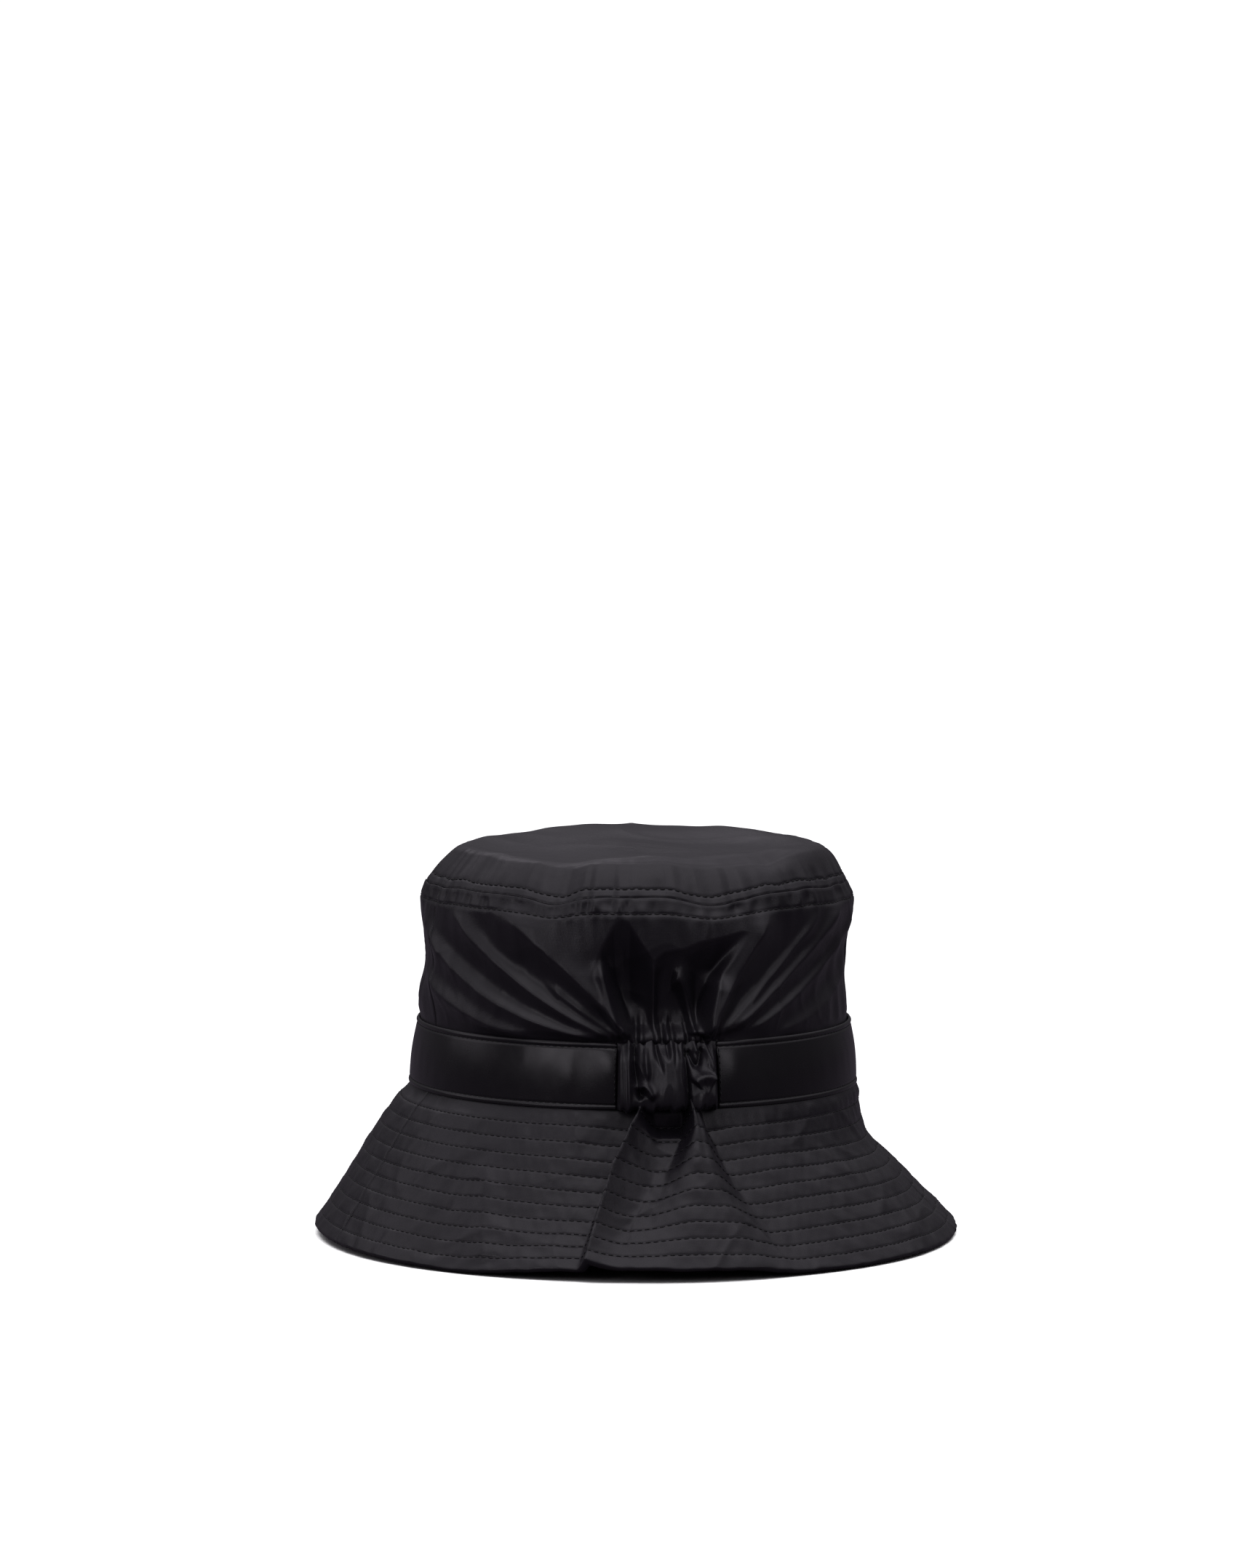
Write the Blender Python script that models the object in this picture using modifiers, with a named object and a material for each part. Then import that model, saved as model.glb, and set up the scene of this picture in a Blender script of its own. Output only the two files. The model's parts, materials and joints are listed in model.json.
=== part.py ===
"""Bucket hat in crisp woven nylon, modelled as its sewn pieces, at rest on its brim.

Frame: metres, +Z up. The origin is the middle of the plane the brim rests on. -Y is the back of the
hat, where the gathered elastic casing is, +Y is the front, and +X is the wearer's right.

The hat is a turned shape that is slightly longer front to back than it is wide. So each sheet of
fabric is a profile in the X-Z plane, turned about Z, stretched to the oval, then given its thickness.
A profile is listed from its top to its bottom and is the sheet's outer face: (radius, height) at the
hat's side. Angles are in degrees from +X, so the back of the hat is at 270.
"""

import math

import bmesh
import bpy
from mathutils import Vector

# Driving dimensions, in metres: the head opening and the heights of the seams
HEAD_HALF_WIDTH = 0.0858
FRONT_BACK_EXTRA = 0.0080
HEAD_SEAM_HEIGHT = 0.0615
BAND_HEIGHT = 0.0262
CROWN_SEAM_HEIGHT = 0.1423
TIP_RISE = 0.0192
SWEATBAND_HEIGHT = 0.0282

# Brim: how far it reaches out, and how steeply it leaves the crown (metres out per metre down)
BRIM_REACH = 0.0390
BRIM_START_SLOPE = 0.42
BRIM_EDGE_ROLL = 0.0030
SEAM_ALLOWANCE = 0.0070

# Fabric thicknesses, and the gaps kept between sheets: the wider one is beside the long crown wall
SHELL = 0.0006
LINING = 0.0004
INTERLINING = 0.0008
TAPE = 0.0005
SWEATBAND = 0.0010
ELASTIC = 0.0009
GAP = 0.0003
WALL_GAP = 0.0005

# Crown: how far the wall draws in at its waist, the drop of the tip's lining, the reach of the seam tape
WAIST = 0.0008
TIP_LINING_DROP = 0.0018
TAPE_ABOVE_SEAM = 0.0045
TAPE_BELOW_SEAM = 0.0052
BAND_LIFT = 0.0008
BAND_TAPER = 0.0010
BAND_CORE_INSET = 0.0015

# Brim: where its inner layers stop, short of the head seam and of the rolled edge
CORE_FROM_SEAM = 0.0012
CORE_FROM_EDGE = 0.0036
UNDER_FROM_SEAM = 0.0004
UNDER_FROM_EDGE = 0.0042
SEAM_LIFT = 0.0002

# Top stitching
THREAD_RADIUS = 0.00022
BRIM_ROWS = 10
FIRST_ROW = 0.0060
LAST_ROW_TO_EDGE = 0.0052
CROWN_ROW_OFFSET = 0.0049
BAND_ROW_OFFSET = 0.0020
SWEATBAND_ROW_HEIGHT = 0.0025

# Angles
TURN = 360
STEPS = 48
BACK = 270
SIDE_SEAM = 75
CASING_HALF = 12.5
END_TRIM = 0.1
BAND_STEPS = 45
BAND_END_GAP = 0.5

# Gathered casing at the back, over the elastic
CASING_DEPTH = 0.0042
CASING_STEPS = 20
CASING_PUCKERS = 5
CASING_RELIEF = 0.0006
CASING_CORNER = 0.0010
CASING_STITCH_GAP = 0.25
CASING_STITCH_INSET = 0.0030
ELASTIC_WIDTH = 0.0190
ELASTIC_END_GAP = 2.0

# Labels sewn inside, on the sweatband
CARE_LABEL_SIZE = (0.0200, 0.0005, 0.0210)
CARE_LABEL_ANGLE = 228.75
SIZE_TAB_SIZE = (0.0110, 0.0006, 0.0120)
SIZE_TAB_ANGLE = 258.75
LABEL_DROP = 0.0022
LABEL_CLEARANCE = 0.0012

# Radii of the layers round the head, from the inside out: the outer face of each sheet
SWEATBAND_R = HEAD_HALF_WIDTH + SWEATBAND
UNDER_ALLOWANCE_R = SWEATBAND_R + GAP + SHELL
UPPER_ALLOWANCE_R = UNDER_ALLOWANCE_R + GAP + SHELL
WALL_R = UPPER_ALLOWANCE_R + WALL_GAP + SHELL
BAND_INTERLINING_R = WALL_R + WALL_GAP + LINING
BAND_R = BAND_INTERLINING_R + GAP + SHELL
BAND_TOP_R = BAND_R - BAND_TAPER
LINING_R = UPPER_ALLOWANCE_R - LINING
BRIM_START_R = 0.0910

# The top of the crown, and how square its shoulder is: 2 is a plain ellipse
CROWN_TOP_R = 0.0873
LINING_TOP_R = CROWN_TOP_R - SHELL - TAPE - 4 * GAP
TIP_SQUARENESS = 3.0
TIP_STEP_SPREAD = 0.6


# ---------------------------------------------------------------- materials


def fabric(name, colour, roughness):
    """A plain dielectric cloth colour."""
    material = bpy.data.materials.new(name)
    material.use_nodes = True
    shader = material.node_tree.nodes["Principled BSDF"]
    shader.inputs["Base Color"].default_value = (*colour, 1.0)
    shader.inputs["Roughness"].default_value = roughness
    shader.inputs["Metallic"].default_value = 0.0
    return material


def make_materials():
    return {
        "nylon": fabric("black_nylon", (0.018, 0.017, 0.020), 0.42),
        "band": fabric("black_satin", (0.012, 0.011, 0.014), 0.30),
        "lining": fabric("black_lining", (0.022, 0.021, 0.024), 0.55),
        "interlining": fabric("grey_interlining", (0.30, 0.30, 0.30), 0.85),
        "sweatband": fabric("black_ribbed_tape", (0.016, 0.016, 0.018), 0.75),
        "elastic": fabric("black_elastic", (0.02, 0.02, 0.02), 0.80),
        "label": fabric("white_satin_label", (0.75, 0.75, 0.73), 0.45),
        "thread": fabric("black_thread", (0.010, 0.010, 0.012), 0.50),
    }


# ---------------------------------------------------------------- profiles


def inward(profile, distance):
    """The profile moved to its inner side by a distance, mitred at its corners."""
    points = [Vector(p) for p in profile]
    moved = []
    for i, point in enumerate(points):
        before = (point - points[i - 1]).normalized() if i else None
        after = (points[i + 1] - point).normalized() if i + 1 < len(points) else None
        sides = [Vector((d.y, -d.x)) for d in (before, after) if d is not None]
        middle = sum(sides, Vector((0, 0))).normalized()
        moved.append(tuple(point + middle * distance / middle.dot(sides[0])))
    return moved


def point_along(profile, distance, outward):
    """The point this far down the profile from its top, lifted off its outer side."""
    for a, b in zip(profile, profile[1:]):
        a, b = Vector(a), Vector(b)
        length = (b - a).length
        if distance <= length:
            direction = (b - a) / length
            return a + direction * distance + Vector((-direction.y, direction.x)) * outward
        distance -= length
    raise ValueError("the distance is longer than the profile")


def length_of(profile):
    return sum((Vector(b) - Vector(a)).length for a, b in zip(profile, profile[1:]))


def trimmed(profile, from_top, from_bottom):
    """The profile with a length cut off its first segment and off its last one."""
    ends = []
    for end, beside, cut in ((0, 1, from_top), (-1, -2, from_bottom)):
        end, beside = Vector(profile[end]), Vector(profile[beside])
        ends.append(tuple(end + (beside - end).normalized() * cut))
    return [ends[0]] + profile[1:-1] + [ends[1]]


def brim_profile(steps=5):
    """The bell curve of the brim's outer face: the radius grows with the square of the drop."""
    drop = HEAD_SEAM_HEIGHT - SHELL - GAP
    bend = (BRIM_REACH - BRIM_START_SLOPE * drop) / drop**2
    points = []
    for i in range(steps + 1):
        down = drop * i / steps
        radius = BRIM_START_R + BRIM_START_SLOPE * down + bend * down**2
        points.append((radius, SHELL + GAP + drop - down))
    return points


def tip_profile(steps=6):
    """A flat-topped dome with a soft shoulder: a quarter of a superellipse, from its pole down."""
    points = []
    for i in range(steps + 1):
        angle = math.pi / 2 * (1 - (i / steps) ** TIP_STEP_SPREAD)
        radius = CROWN_TOP_R * math.cos(angle) ** (2 / TIP_SQUARENESS)
        height = TIP_RISE * math.sin(angle) ** (2 / TIP_SQUARENESS)
        points.append((0.0 if i == 0 else radius, CROWN_SEAM_HEIGHT + height))
    return points


def wall_profile():
    """The side of the crown, from the seam with the tip down to the head seam."""
    top = CROWN_SEAM_HEIGHT - GAP
    bottom = HEAD_SEAM_HEIGHT + 2 * GAP
    waist = (0.5 * (CROWN_TOP_R + WALL_R) - WAIST, 0.5 * (top + bottom))
    return [(CROWN_TOP_R, top), waist, (WALL_R, bottom)]


def band_profile():
    bottom = HEAD_SEAM_HEIGHT + BAND_LIFT
    return [(BAND_TOP_R, bottom + BAND_HEIGHT), (BAND_R, bottom)]


# ---------------------------------------------------------------- building


def stretch_to_oval(points):
    """Moves points out along Y, so that a circle becomes the hat's oval. It fades out at the axis."""
    for point in points:
        radius = math.hypot(point.x, point.y)
        if radius > 1e-9:
            share = min(1.0, radius / CROWN_TOP_R)
            point.y += FRONT_BACK_EXTRA * share * point.y / radius


def add_object(name, data, material, collection):
    obj = bpy.data.objects.new(name, data)
    obj.data.materials.append(material)
    collection.objects.link(obj)
    return obj


def turned_mesh(profile, start, sweep, steps, closed=False):
    """The profile turned about Z, from one angle through a sweep, as an open surface."""
    turn = math.radians(start)
    mesh = bpy.data.meshes.new("profile")
    vertices = [(r * math.cos(turn), r * math.sin(turn), z) for r, z in profile]
    edges = [(i, i + 1) for i in range(len(vertices) - 1)]
    if closed:
        edges.append((len(vertices) - 1, 0))
    mesh.from_pydata(vertices, edges, [])
    line = bpy.data.objects.new("profile", mesh)
    bpy.context.scene.collection.objects.link(line)
    screw = line.modifiers.new("turn", "SCREW")
    screw.axis = "Z"
    screw.angle = math.radians(sweep)
    screw.steps = screw.render_steps = steps
    screw.use_merge_vertices = True
    screw.merge_threshold = 0.00001
    screw.use_smooth_shade = True
    bpy.context.view_layer.update()
    graph = bpy.context.evaluated_depsgraph_get()
    turned = bpy.data.meshes.new_from_object(line.evaluated_get(graph))
    bpy.data.objects.remove(line)
    return turned


def sheet(name, profile, thickness, material, collection, start=0, sweep=TURN, steps=STEPS):
    """A sheet of fabric: a turned profile, its outer face where the profile is."""
    mesh = turned_mesh(profile, start, sweep, steps)
    face_outward(mesh)
    stretch_to_oval([v.co for v in mesh.vertices])
    obj = add_object(name, mesh, material, collection)
    thicken(obj, thickness)
    return obj


def face_outward(mesh):
    """Turns the open surface's faces so that their sum points away from the axis or upwards."""
    outwards = sum(
        f.area * (f.normal.x * f.center.x + f.normal.y * f.center.y + f.normal.z * f.center.z)
        for f in mesh.polygons
    )
    if outwards < 0:
        mesh.flip_normals()


def thicken(obj, thickness):
    solidify = obj.modifiers.new("thickness", "SOLIDIFY")
    solidify.thickness = thickness
    solidify.offset = -1
    solidify.use_even_offset = True


def thread_ring(name, radius, height, material, collection, start=0, sweep=TURN, steps=STEPS):
    """One row of top stitching, as a thread lying on the fabric, all round or part of the way."""
    whole = sweep == TURN
    count = steps if whole else steps + 1
    points = []
    for i in range(count):
        angle = math.radians(start + sweep * i / steps)
        points.append(Vector((radius * math.cos(angle), radius * math.sin(angle), height)))
    stretch_to_oval(points)
    return thread(name, points, material, collection, cyclic=whole)


def thread(name, points, material, collection, cyclic=False):
    curve = bpy.data.curves.new(name, "CURVE")
    curve.dimensions = "3D"
    curve.twist_mode = "Z_UP"
    curve.bevel_depth = THREAD_RADIUS
    curve.bevel_resolution = 0
    curve.use_fill_caps = True
    spline = curve.splines.new("POLY")
    spline.points.add(len(points) - 1)
    for target, point in zip(spline.points, points):
        target.co = (*point, 1.0)
    spline.use_cyclic_u = cyclic
    return add_object(name, curve, material, collection)


# ---------------------------------------------------------------- the pieces


def make_crown_top(collection, mats):
    """The tip, its lining and the tape inside its seam: what sinks when the crown is pushed down."""
    tip = tip_profile()
    sheet("crown_tip", tip, SHELL, mats["nylon"], collection)

    lining = [(r * LINING_TOP_R / CROWN_TOP_R, z - TIP_LINING_DROP) for r, z in tip[:-1]]
    lining.append((LINING_TOP_R, CROWN_SEAM_HEIGHT))
    sheet("tip_lining", lining, LINING, mats["lining"], collection)

    tape_r = CROWN_TOP_R - SHELL - 2 * GAP
    tape_top = (tape_r - GAP, CROWN_SEAM_HEIGHT + TAPE_ABOVE_SEAM)
    tape = [tape_top, (tape_r, CROWN_SEAM_HEIGHT - TAPE_BELOW_SEAM)]
    sheet("tip_seam_tape", tape, TAPE, mats["lining"], collection)

    lift = GAP + THREAD_RADIUS
    up_from_seam = length_of(tip) - CROWN_ROW_OFFSET
    on_tip = point_along(tip, up_from_seam, lift)
    on_wall = point_along(wall_profile(), CROWN_ROW_OFFSET, lift)
    thread_ring("tip_topstitch", on_tip.x, on_tip.y, mats["thread"], collection)
    thread_ring("wall_topstitch", on_wall.x, on_wall.y, mats["thread"], collection)


def halves():
    """(name, start angle, sweep, steps) of the back and front panels, which meet at the side seams."""
    step = TURN / STEPS
    back = 2 * SIDE_SEAM
    front = TURN - back
    yield "back", BACK - SIDE_SEAM + END_TRIM, back - 2 * END_TRIM, round(back / step)
    yield "front", BACK + SIDE_SEAM + END_TRIM, front - 2 * END_TRIM, round(front / step)


def make_crown_wall(collection, mats):
    for half, start, sweep, steps in halves():
        name = "crown_wall_" + half
        sheet(name, wall_profile(), SHELL, mats["nylon"], collection, start, sweep, steps)
    lining = [
        (LINING_TOP_R, CROWN_SEAM_HEIGHT - GAP),
        (LINING_R, HEAD_SEAM_HEIGHT + SEAM_ALLOWANCE + 3 * GAP),
    ]
    sheet("wall_lining", lining, LINING, mats["lining"], collection)


def make_band(collection, mats):
    """The flat self-fabric band: it stops at each end of the gathered casing."""
    start = BACK + CASING_HALF + BAND_END_GAP
    sweep = TURN - 2 * (CASING_HALF + BAND_END_GAP)
    span = (start, sweep, BAND_STEPS)
    band = band_profile()
    sheet("hat_band", band, SHELL, mats["band"], collection, *span)

    top, bottom = inward(band, SHELL + GAP)
    core = [(top[0], top[1] - BAND_CORE_INSET), (bottom[0], bottom[1] + BAND_CORE_INSET)]
    sheet("band_interlining", core, LINING, mats["interlining"], collection, *span)

    lift = GAP + THREAD_RADIUS
    rows = {"band_top_stitch": BAND_ROW_OFFSET, "band_bottom_stitch": BAND_HEIGHT - BAND_ROW_OFFSET}
    for name, down in rows.items():
        row = point_along(band, down, lift)
        thread_ring(name, row.x, row.y, mats["thread"], collection, *span)


def pucker(mesh):
    """Gathers the casing: its outer side swells and sinks along the arc, level at the two ends."""
    middle_r = WALL_R + GAP + 0.5 * CASING_DEPTH
    for vertex in mesh.vertices:
        point = vertex.co
        radius = math.hypot(point.x, point.y)
        across = (math.degrees(math.atan2(point.x, -point.y)) / CASING_HALF + 1) / 2
        if radius > middle_r:
            swell = CASING_RELIEF * math.sin(math.pi * CASING_PUCKERS * across) ** 2
            point.x *= 1 + swell / radius
            point.y *= 1 + swell / radius


def make_back_elastic(collection, mats):
    """The gathered casing, the elastic in it, and the upright seam lines at its two ends."""
    bottom = HEAD_SEAM_HEIGHT + BAND_LIFT
    top = bottom + BAND_HEIGHT
    inner = WALL_R + GAP
    outer = inner + CASING_DEPTH
    section = [
        (inner, top),
        (outer - CASING_CORNER, top),
        (outer, top - CASING_CORNER),
        (outer, bottom + CASING_CORNER),
        (outer - CASING_CORNER, bottom),
        (inner, bottom),
    ]
    start, sweep = BACK - CASING_HALF, 2 * CASING_HALF
    tube = turned_mesh(section, start, sweep, CASING_STEPS, closed=True)
    face_out_of_tube(tube, 0.5 * (inner + outer), 0.5 * (top + bottom))
    pucker(tube)
    stretch_to_oval([v.co for v in tube.vertices])
    thicken(add_object("back_casing", tube, mats["nylon"], collection), SHELL)

    elastic_r = 0.5 * (inner + outer) + 0.5 * ELASTIC
    margin = 0.5 * (BAND_HEIGHT - ELASTIC_WIDTH)
    strip = [(elastic_r, top - margin), (elastic_r, bottom + margin)]
    half = CASING_HALF - ELASTIC_END_GAP
    span = (BACK - half, 2 * half, CASING_STEPS)
    sheet("back_elastic", strip, ELASTIC, mats["elastic"], collection, *span)

    radius = BAND_R + GAP + THREAD_RADIUS
    heights = (bottom + CASING_STITCH_INSET, top - CASING_STITCH_INSET)
    turn = CASING_HALF + CASING_STITCH_GAP
    for side, angle in (("left", BACK - turn), ("right", BACK + turn)):
        angle = math.radians(angle)
        ends = [Vector((radius * math.cos(angle), radius * math.sin(angle), z)) for z in heights]
        stretch_to_oval(ends)
        thread("casing_end_stitch_" + side, ends, mats["thread"], collection)


def face_out_of_tube(mesh, middle_r, middle_z):
    """Turns a tube's faces so that they point away from the middle of its section."""
    total = 0.0
    for face in mesh.polygons:
        radius = math.hypot(face.center.x, face.center.y)
        radial = (face.normal.x * face.center.x + face.normal.y * face.center.y) / radius
        total += face.area * (radial * (radius - middle_r) + face.normal.z * (face.center.z - middle_z))
    if total < 0:
        mesh.flip_normals()


def make_brim(collection, mats):
    """Upper brim, stiffener and under brim. The inner edges turn up inside the crown as allowances."""
    face = brim_profile()
    edge_r = face[-1][0]
    seam_z = HEAD_SEAM_HEIGHT + SEAM_LIFT

    allowance = [(UPPER_ALLOWANCE_R, seam_z + SEAM_ALLOWANCE), (UPPER_ALLOWANCE_R, seam_z)]
    rolled = [(edge_r, 0.0), (edge_r - BRIM_EDGE_ROLL, 0.0)]
    upper = allowance + face + rolled
    for half, start, sweep, steps in halves():
        name = "brim_upper_" + half
        sheet(name, upper, SHELL, mats["nylon"], collection, start, sweep, steps)

    core = trimmed(inward(face, SHELL + GAP), CORE_FROM_SEAM, CORE_FROM_EDGE)
    sheet("brim_interlining", core, INTERLINING, mats["interlining"], collection)

    inner_face = inward(face, SHELL + INTERLINING + 2 * GAP)
    inner_face = trimmed(inner_face, UNDER_FROM_SEAM, UNDER_FROM_EDGE)
    seam_z -= SHELL + 2 * GAP
    turned_up = [(UNDER_ALLOWANCE_R, seam_z + SEAM_ALLOWANCE), (UNDER_ALLOWANCE_R, seam_z)]
    under = turned_up + inner_face
    for half, start, sweep, steps in halves():
        name = "brim_under_" + half
        sheet(name, under, SHELL, mats["nylon"], collection, start, sweep, steps)

    last_row = length_of(face) - LAST_ROW_TO_EDGE
    for row in range(BRIM_ROWS):
        down = FIRST_ROW + (last_row - FIRST_ROW) * row / (BRIM_ROWS - 1)
        point = point_along(face, down, GAP + THREAD_RADIUS)
        name = f"brim_stitch_row_{row + 1:02d}"
        thread_ring(name, point.x, point.y, mats["thread"], collection)


def make_sweatband(collection, mats):
    bottom = HEAD_SEAM_HEIGHT + SEAM_LIFT
    tape = [(SWEATBAND_R, bottom + SWEATBAND_HEIGHT), (SWEATBAND_R, bottom)]
    sheet("sweatband", tape, SWEATBAND, mats["sweatband"], collection)
    inside = HEAD_HALF_WIDTH - GAP - THREAD_RADIUS
    thread_ring("sweatband_stitch", inside, bottom + SWEATBAND_ROW_HEIGHT, mats["thread"], collection)


def make_label(name, size, angle, collection, mats):
    """A label that hangs inside the sweatband from the row of stitches along its top edge."""
    width, thickness, length = size
    hinge_height = HEAD_SEAM_HEIGHT + SWEATBAND_HEIGHT - LABEL_DROP
    turn = math.radians(angle)
    radius = HEAD_HALF_WIDTH - LABEL_CLEARANCE - 0.5 * thickness
    hinge = [Vector((radius * math.cos(turn), radius * math.sin(turn), hinge_height))]
    stretch_to_oval(hinge)
    half_length = HEAD_HALF_WIDTH + FRONT_BACK_EXTRA
    tangent = Vector((-HEAD_HALF_WIDTH * math.sin(turn), half_length * math.cos(turn)))

    mesh = bpy.data.meshes.new(name)
    solid = bmesh.new()
    bmesh.ops.create_cube(solid, size=1.0)
    bmesh.ops.scale(solid, vec=(width, thickness, length), verts=solid.verts)
    drop = THREAD_RADIUS + GAP + 0.5 * length
    bmesh.ops.translate(solid, vec=(0, 0, -drop), verts=solid.verts)
    solid.to_mesh(mesh)
    solid.free()
    label = add_object(name, mesh, mats["label"], collection)
    label.location = hinge[0]
    label.rotation_euler = (0, 0, math.atan2(tangent.y, tangent.x))

    half = tangent.normalized().to_3d() * (0.5 * width)
    thread(name + "_stitch", [hinge[0] - half, hinge[0] + half], mats["thread"], collection)


def main():
    for obj in list(bpy.data.objects):
        bpy.data.objects.remove(obj)
    collection = bpy.data.collections.new("bucket_hat")
    bpy.context.scene.collection.children.link(collection)
    mats = make_materials()
    make_crown_top(collection, mats)
    make_crown_wall(collection, mats)
    make_band(collection, mats)
    make_back_elastic(collection, mats)
    make_brim(collection, mats)
    make_sweatband(collection, mats)
    make_label("care_label", CARE_LABEL_SIZE, CARE_LABEL_ANGLE, collection, mats)
    make_label("size_tab", SIZE_TAB_SIZE, SIZE_TAB_ANGLE, collection, mats)


main()
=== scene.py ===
"""The looks of a bucket hat in crisp black nylon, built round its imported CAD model.

Every cloth surface is a formula over the angle round the hat and the way down it: a smooth base shape,
plus the folds that the gathered elastic pulls into the crown and the brim, plus fine wrinkles. Angles are
measured from the gather, which is at -Y, and are positive towards +X. Lengths are metres.
"""

import json
import math
from typing import NamedTuple

import bpy
import numpy as np
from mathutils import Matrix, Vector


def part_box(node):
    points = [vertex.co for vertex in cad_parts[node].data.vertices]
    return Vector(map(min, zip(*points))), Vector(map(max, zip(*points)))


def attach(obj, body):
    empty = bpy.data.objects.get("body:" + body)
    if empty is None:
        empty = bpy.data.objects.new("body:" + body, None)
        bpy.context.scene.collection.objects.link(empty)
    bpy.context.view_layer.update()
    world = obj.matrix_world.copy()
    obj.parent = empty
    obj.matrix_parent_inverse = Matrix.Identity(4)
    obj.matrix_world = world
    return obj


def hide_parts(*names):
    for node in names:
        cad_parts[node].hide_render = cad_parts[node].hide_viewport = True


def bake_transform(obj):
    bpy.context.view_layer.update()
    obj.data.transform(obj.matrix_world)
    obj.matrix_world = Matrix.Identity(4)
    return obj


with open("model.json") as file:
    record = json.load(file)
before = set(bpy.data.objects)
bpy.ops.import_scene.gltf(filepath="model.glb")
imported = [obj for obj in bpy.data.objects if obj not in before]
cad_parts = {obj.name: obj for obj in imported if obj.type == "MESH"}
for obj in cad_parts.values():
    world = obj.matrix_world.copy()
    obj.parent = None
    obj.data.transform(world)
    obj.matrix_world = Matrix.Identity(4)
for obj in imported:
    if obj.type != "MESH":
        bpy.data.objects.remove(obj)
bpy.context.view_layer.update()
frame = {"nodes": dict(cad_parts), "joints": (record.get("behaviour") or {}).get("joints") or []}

MM = 0.001

# Sizes that come from the frame
WALL_LOW, CROWN_SEAM = (corner.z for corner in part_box("crown_wall_front"))
BAND_LOW, BAND_TOP = (corner.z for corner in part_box("hat_band"))
SWEATBAND_LOW, SWEATBAND_TOP = (corner.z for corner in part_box("sweatband"))
SWEATBAND_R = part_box("sweatband")[1].x
BRIM_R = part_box("brim_upper_front")[1].x
CROWN_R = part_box("crown_tip")[1].x
OVAL_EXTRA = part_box("crown_tip")[1].y - CROWN_R
HEAD_SEAM = BAND_LOW - 0.8 * MM

SIDE_SEAM = 75.0  # degrees each way from the gather
CASING_ENDS = (-13.2, 12.6)  # degrees
CRUMPLES = "crumples"


# ---- small maths


def smooth(low, high, x):
    """0 below low, 1 above high, and a soft step between them."""
    t = np.clip((x - low) / (high - low), 0, 1)
    return t * t * (3 - 2 * t)


def hump(x, centre, width):
    """A bell-shaped bump, 1 at its centre."""
    return np.exp(-(((x - centre) / width) ** 2))


def through(points, x):
    """The value at x of straight lines through (x, value) points."""
    return np.interp(x, *np.array(points, float).T)


def turned(degrees, centre):
    """How far an angle is from a centre, in degrees from -180 to 180."""
    return (degrees - centre + 180) % 360 - 180


def lobe(degrees, centre, width):
    """A hump round the hat, 1 at its centre."""
    return hump(turned(degrees, centre), 0, width)


def ripple(points, wavelength, seed, stretch=(1, 1, 1), waves=28):
    """Smooth random relief of about -1 to 1 at points in space. Stretch makes it longer along an axis."""
    random = np.random.default_rng(seed)
    directions = random.normal(size=(waves, 3))
    directions /= np.linalg.norm(directions, axis=1)[:, None]
    lengths = wavelength * random.uniform(0.7, 1.5, waves)
    phases = random.uniform(0, 2 * math.pi, waves)
    scaled = points / np.array(stretch)
    total = np.zeros(points.shape[:-1])
    for direction, length, phase in zip(directions, lengths, phases):
        total += np.sin(scaled @ direction * (2 * math.pi / length) + phase)
    return total / math.sqrt(waves)


def creases(points, wavelength, seed, stretch=(1, 1, 1)):
    """Random relief with sharp ridges, as in cloth that was folded: 0 to 1, mostly low."""
    return np.clip(1 - 1.6 * np.abs(ripple(points, wavelength, seed, stretch)), 0, 1) ** 2


def on_oval(degrees, radius, height):
    """Points on the hat at an angle, a half-width at the side and a height."""
    degrees, radius, height = np.broadcast_arrays(degrees, radius, height)
    angle = np.radians(degrees)
    share = np.clip(radius / CROWN_R, 0, 1)
    x = radius * np.sin(angle)
    y = -(radius + OVAL_EXTRA * share) * np.cos(angle)
    return np.stack([x, y, height], axis=-1)


def columns(start, end, fine=0.28, coarse=0.75, fine_reach=34):
    """Angles from start to end, closer together near the gather."""
    angles = [start]
    while angles[-1] < end:
        away = abs(turned(angles[-1], 0))
        step = fine if away < fine_reach else fine + (coarse - fine) * min(1, (away - fine_reach) / 15)
        angles.append(angles[-1] + step)
    angles = np.array(angles[:-1] + [end]) if end - angles[-2] > 0.5 * fine else np.array(angles)
    return start + (angles - start) * (end - start) / (angles[-1] - start)


ALL_ROUND = columns(0, 360)[:-1]


# ---- meshes


def add_piece(mesh, cloth, slot_name, body, *nodes):
    """A piece of this cloth that is shown in place of these CAD nodes and moves with a body.

    A piece that crumples has its placement baked into its mesh and is not attached to a body.
    """
    piece = bpy.data.objects.new(mesh.name, mesh)
    bpy.context.scene.collection.objects.link(piece)
    mesh.materials.append(MATERIALS[cloth])
    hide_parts(*nodes)
    if body == CRUMPLES:
        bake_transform(piece)
    else:
        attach(piece, body)
    return piece


def lengths_along(line):
    """How far along a line each of its points is."""
    return np.concatenate([[0], np.cumsum(np.linalg.norm(np.diff(line, axis=0), axis=1))])


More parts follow.
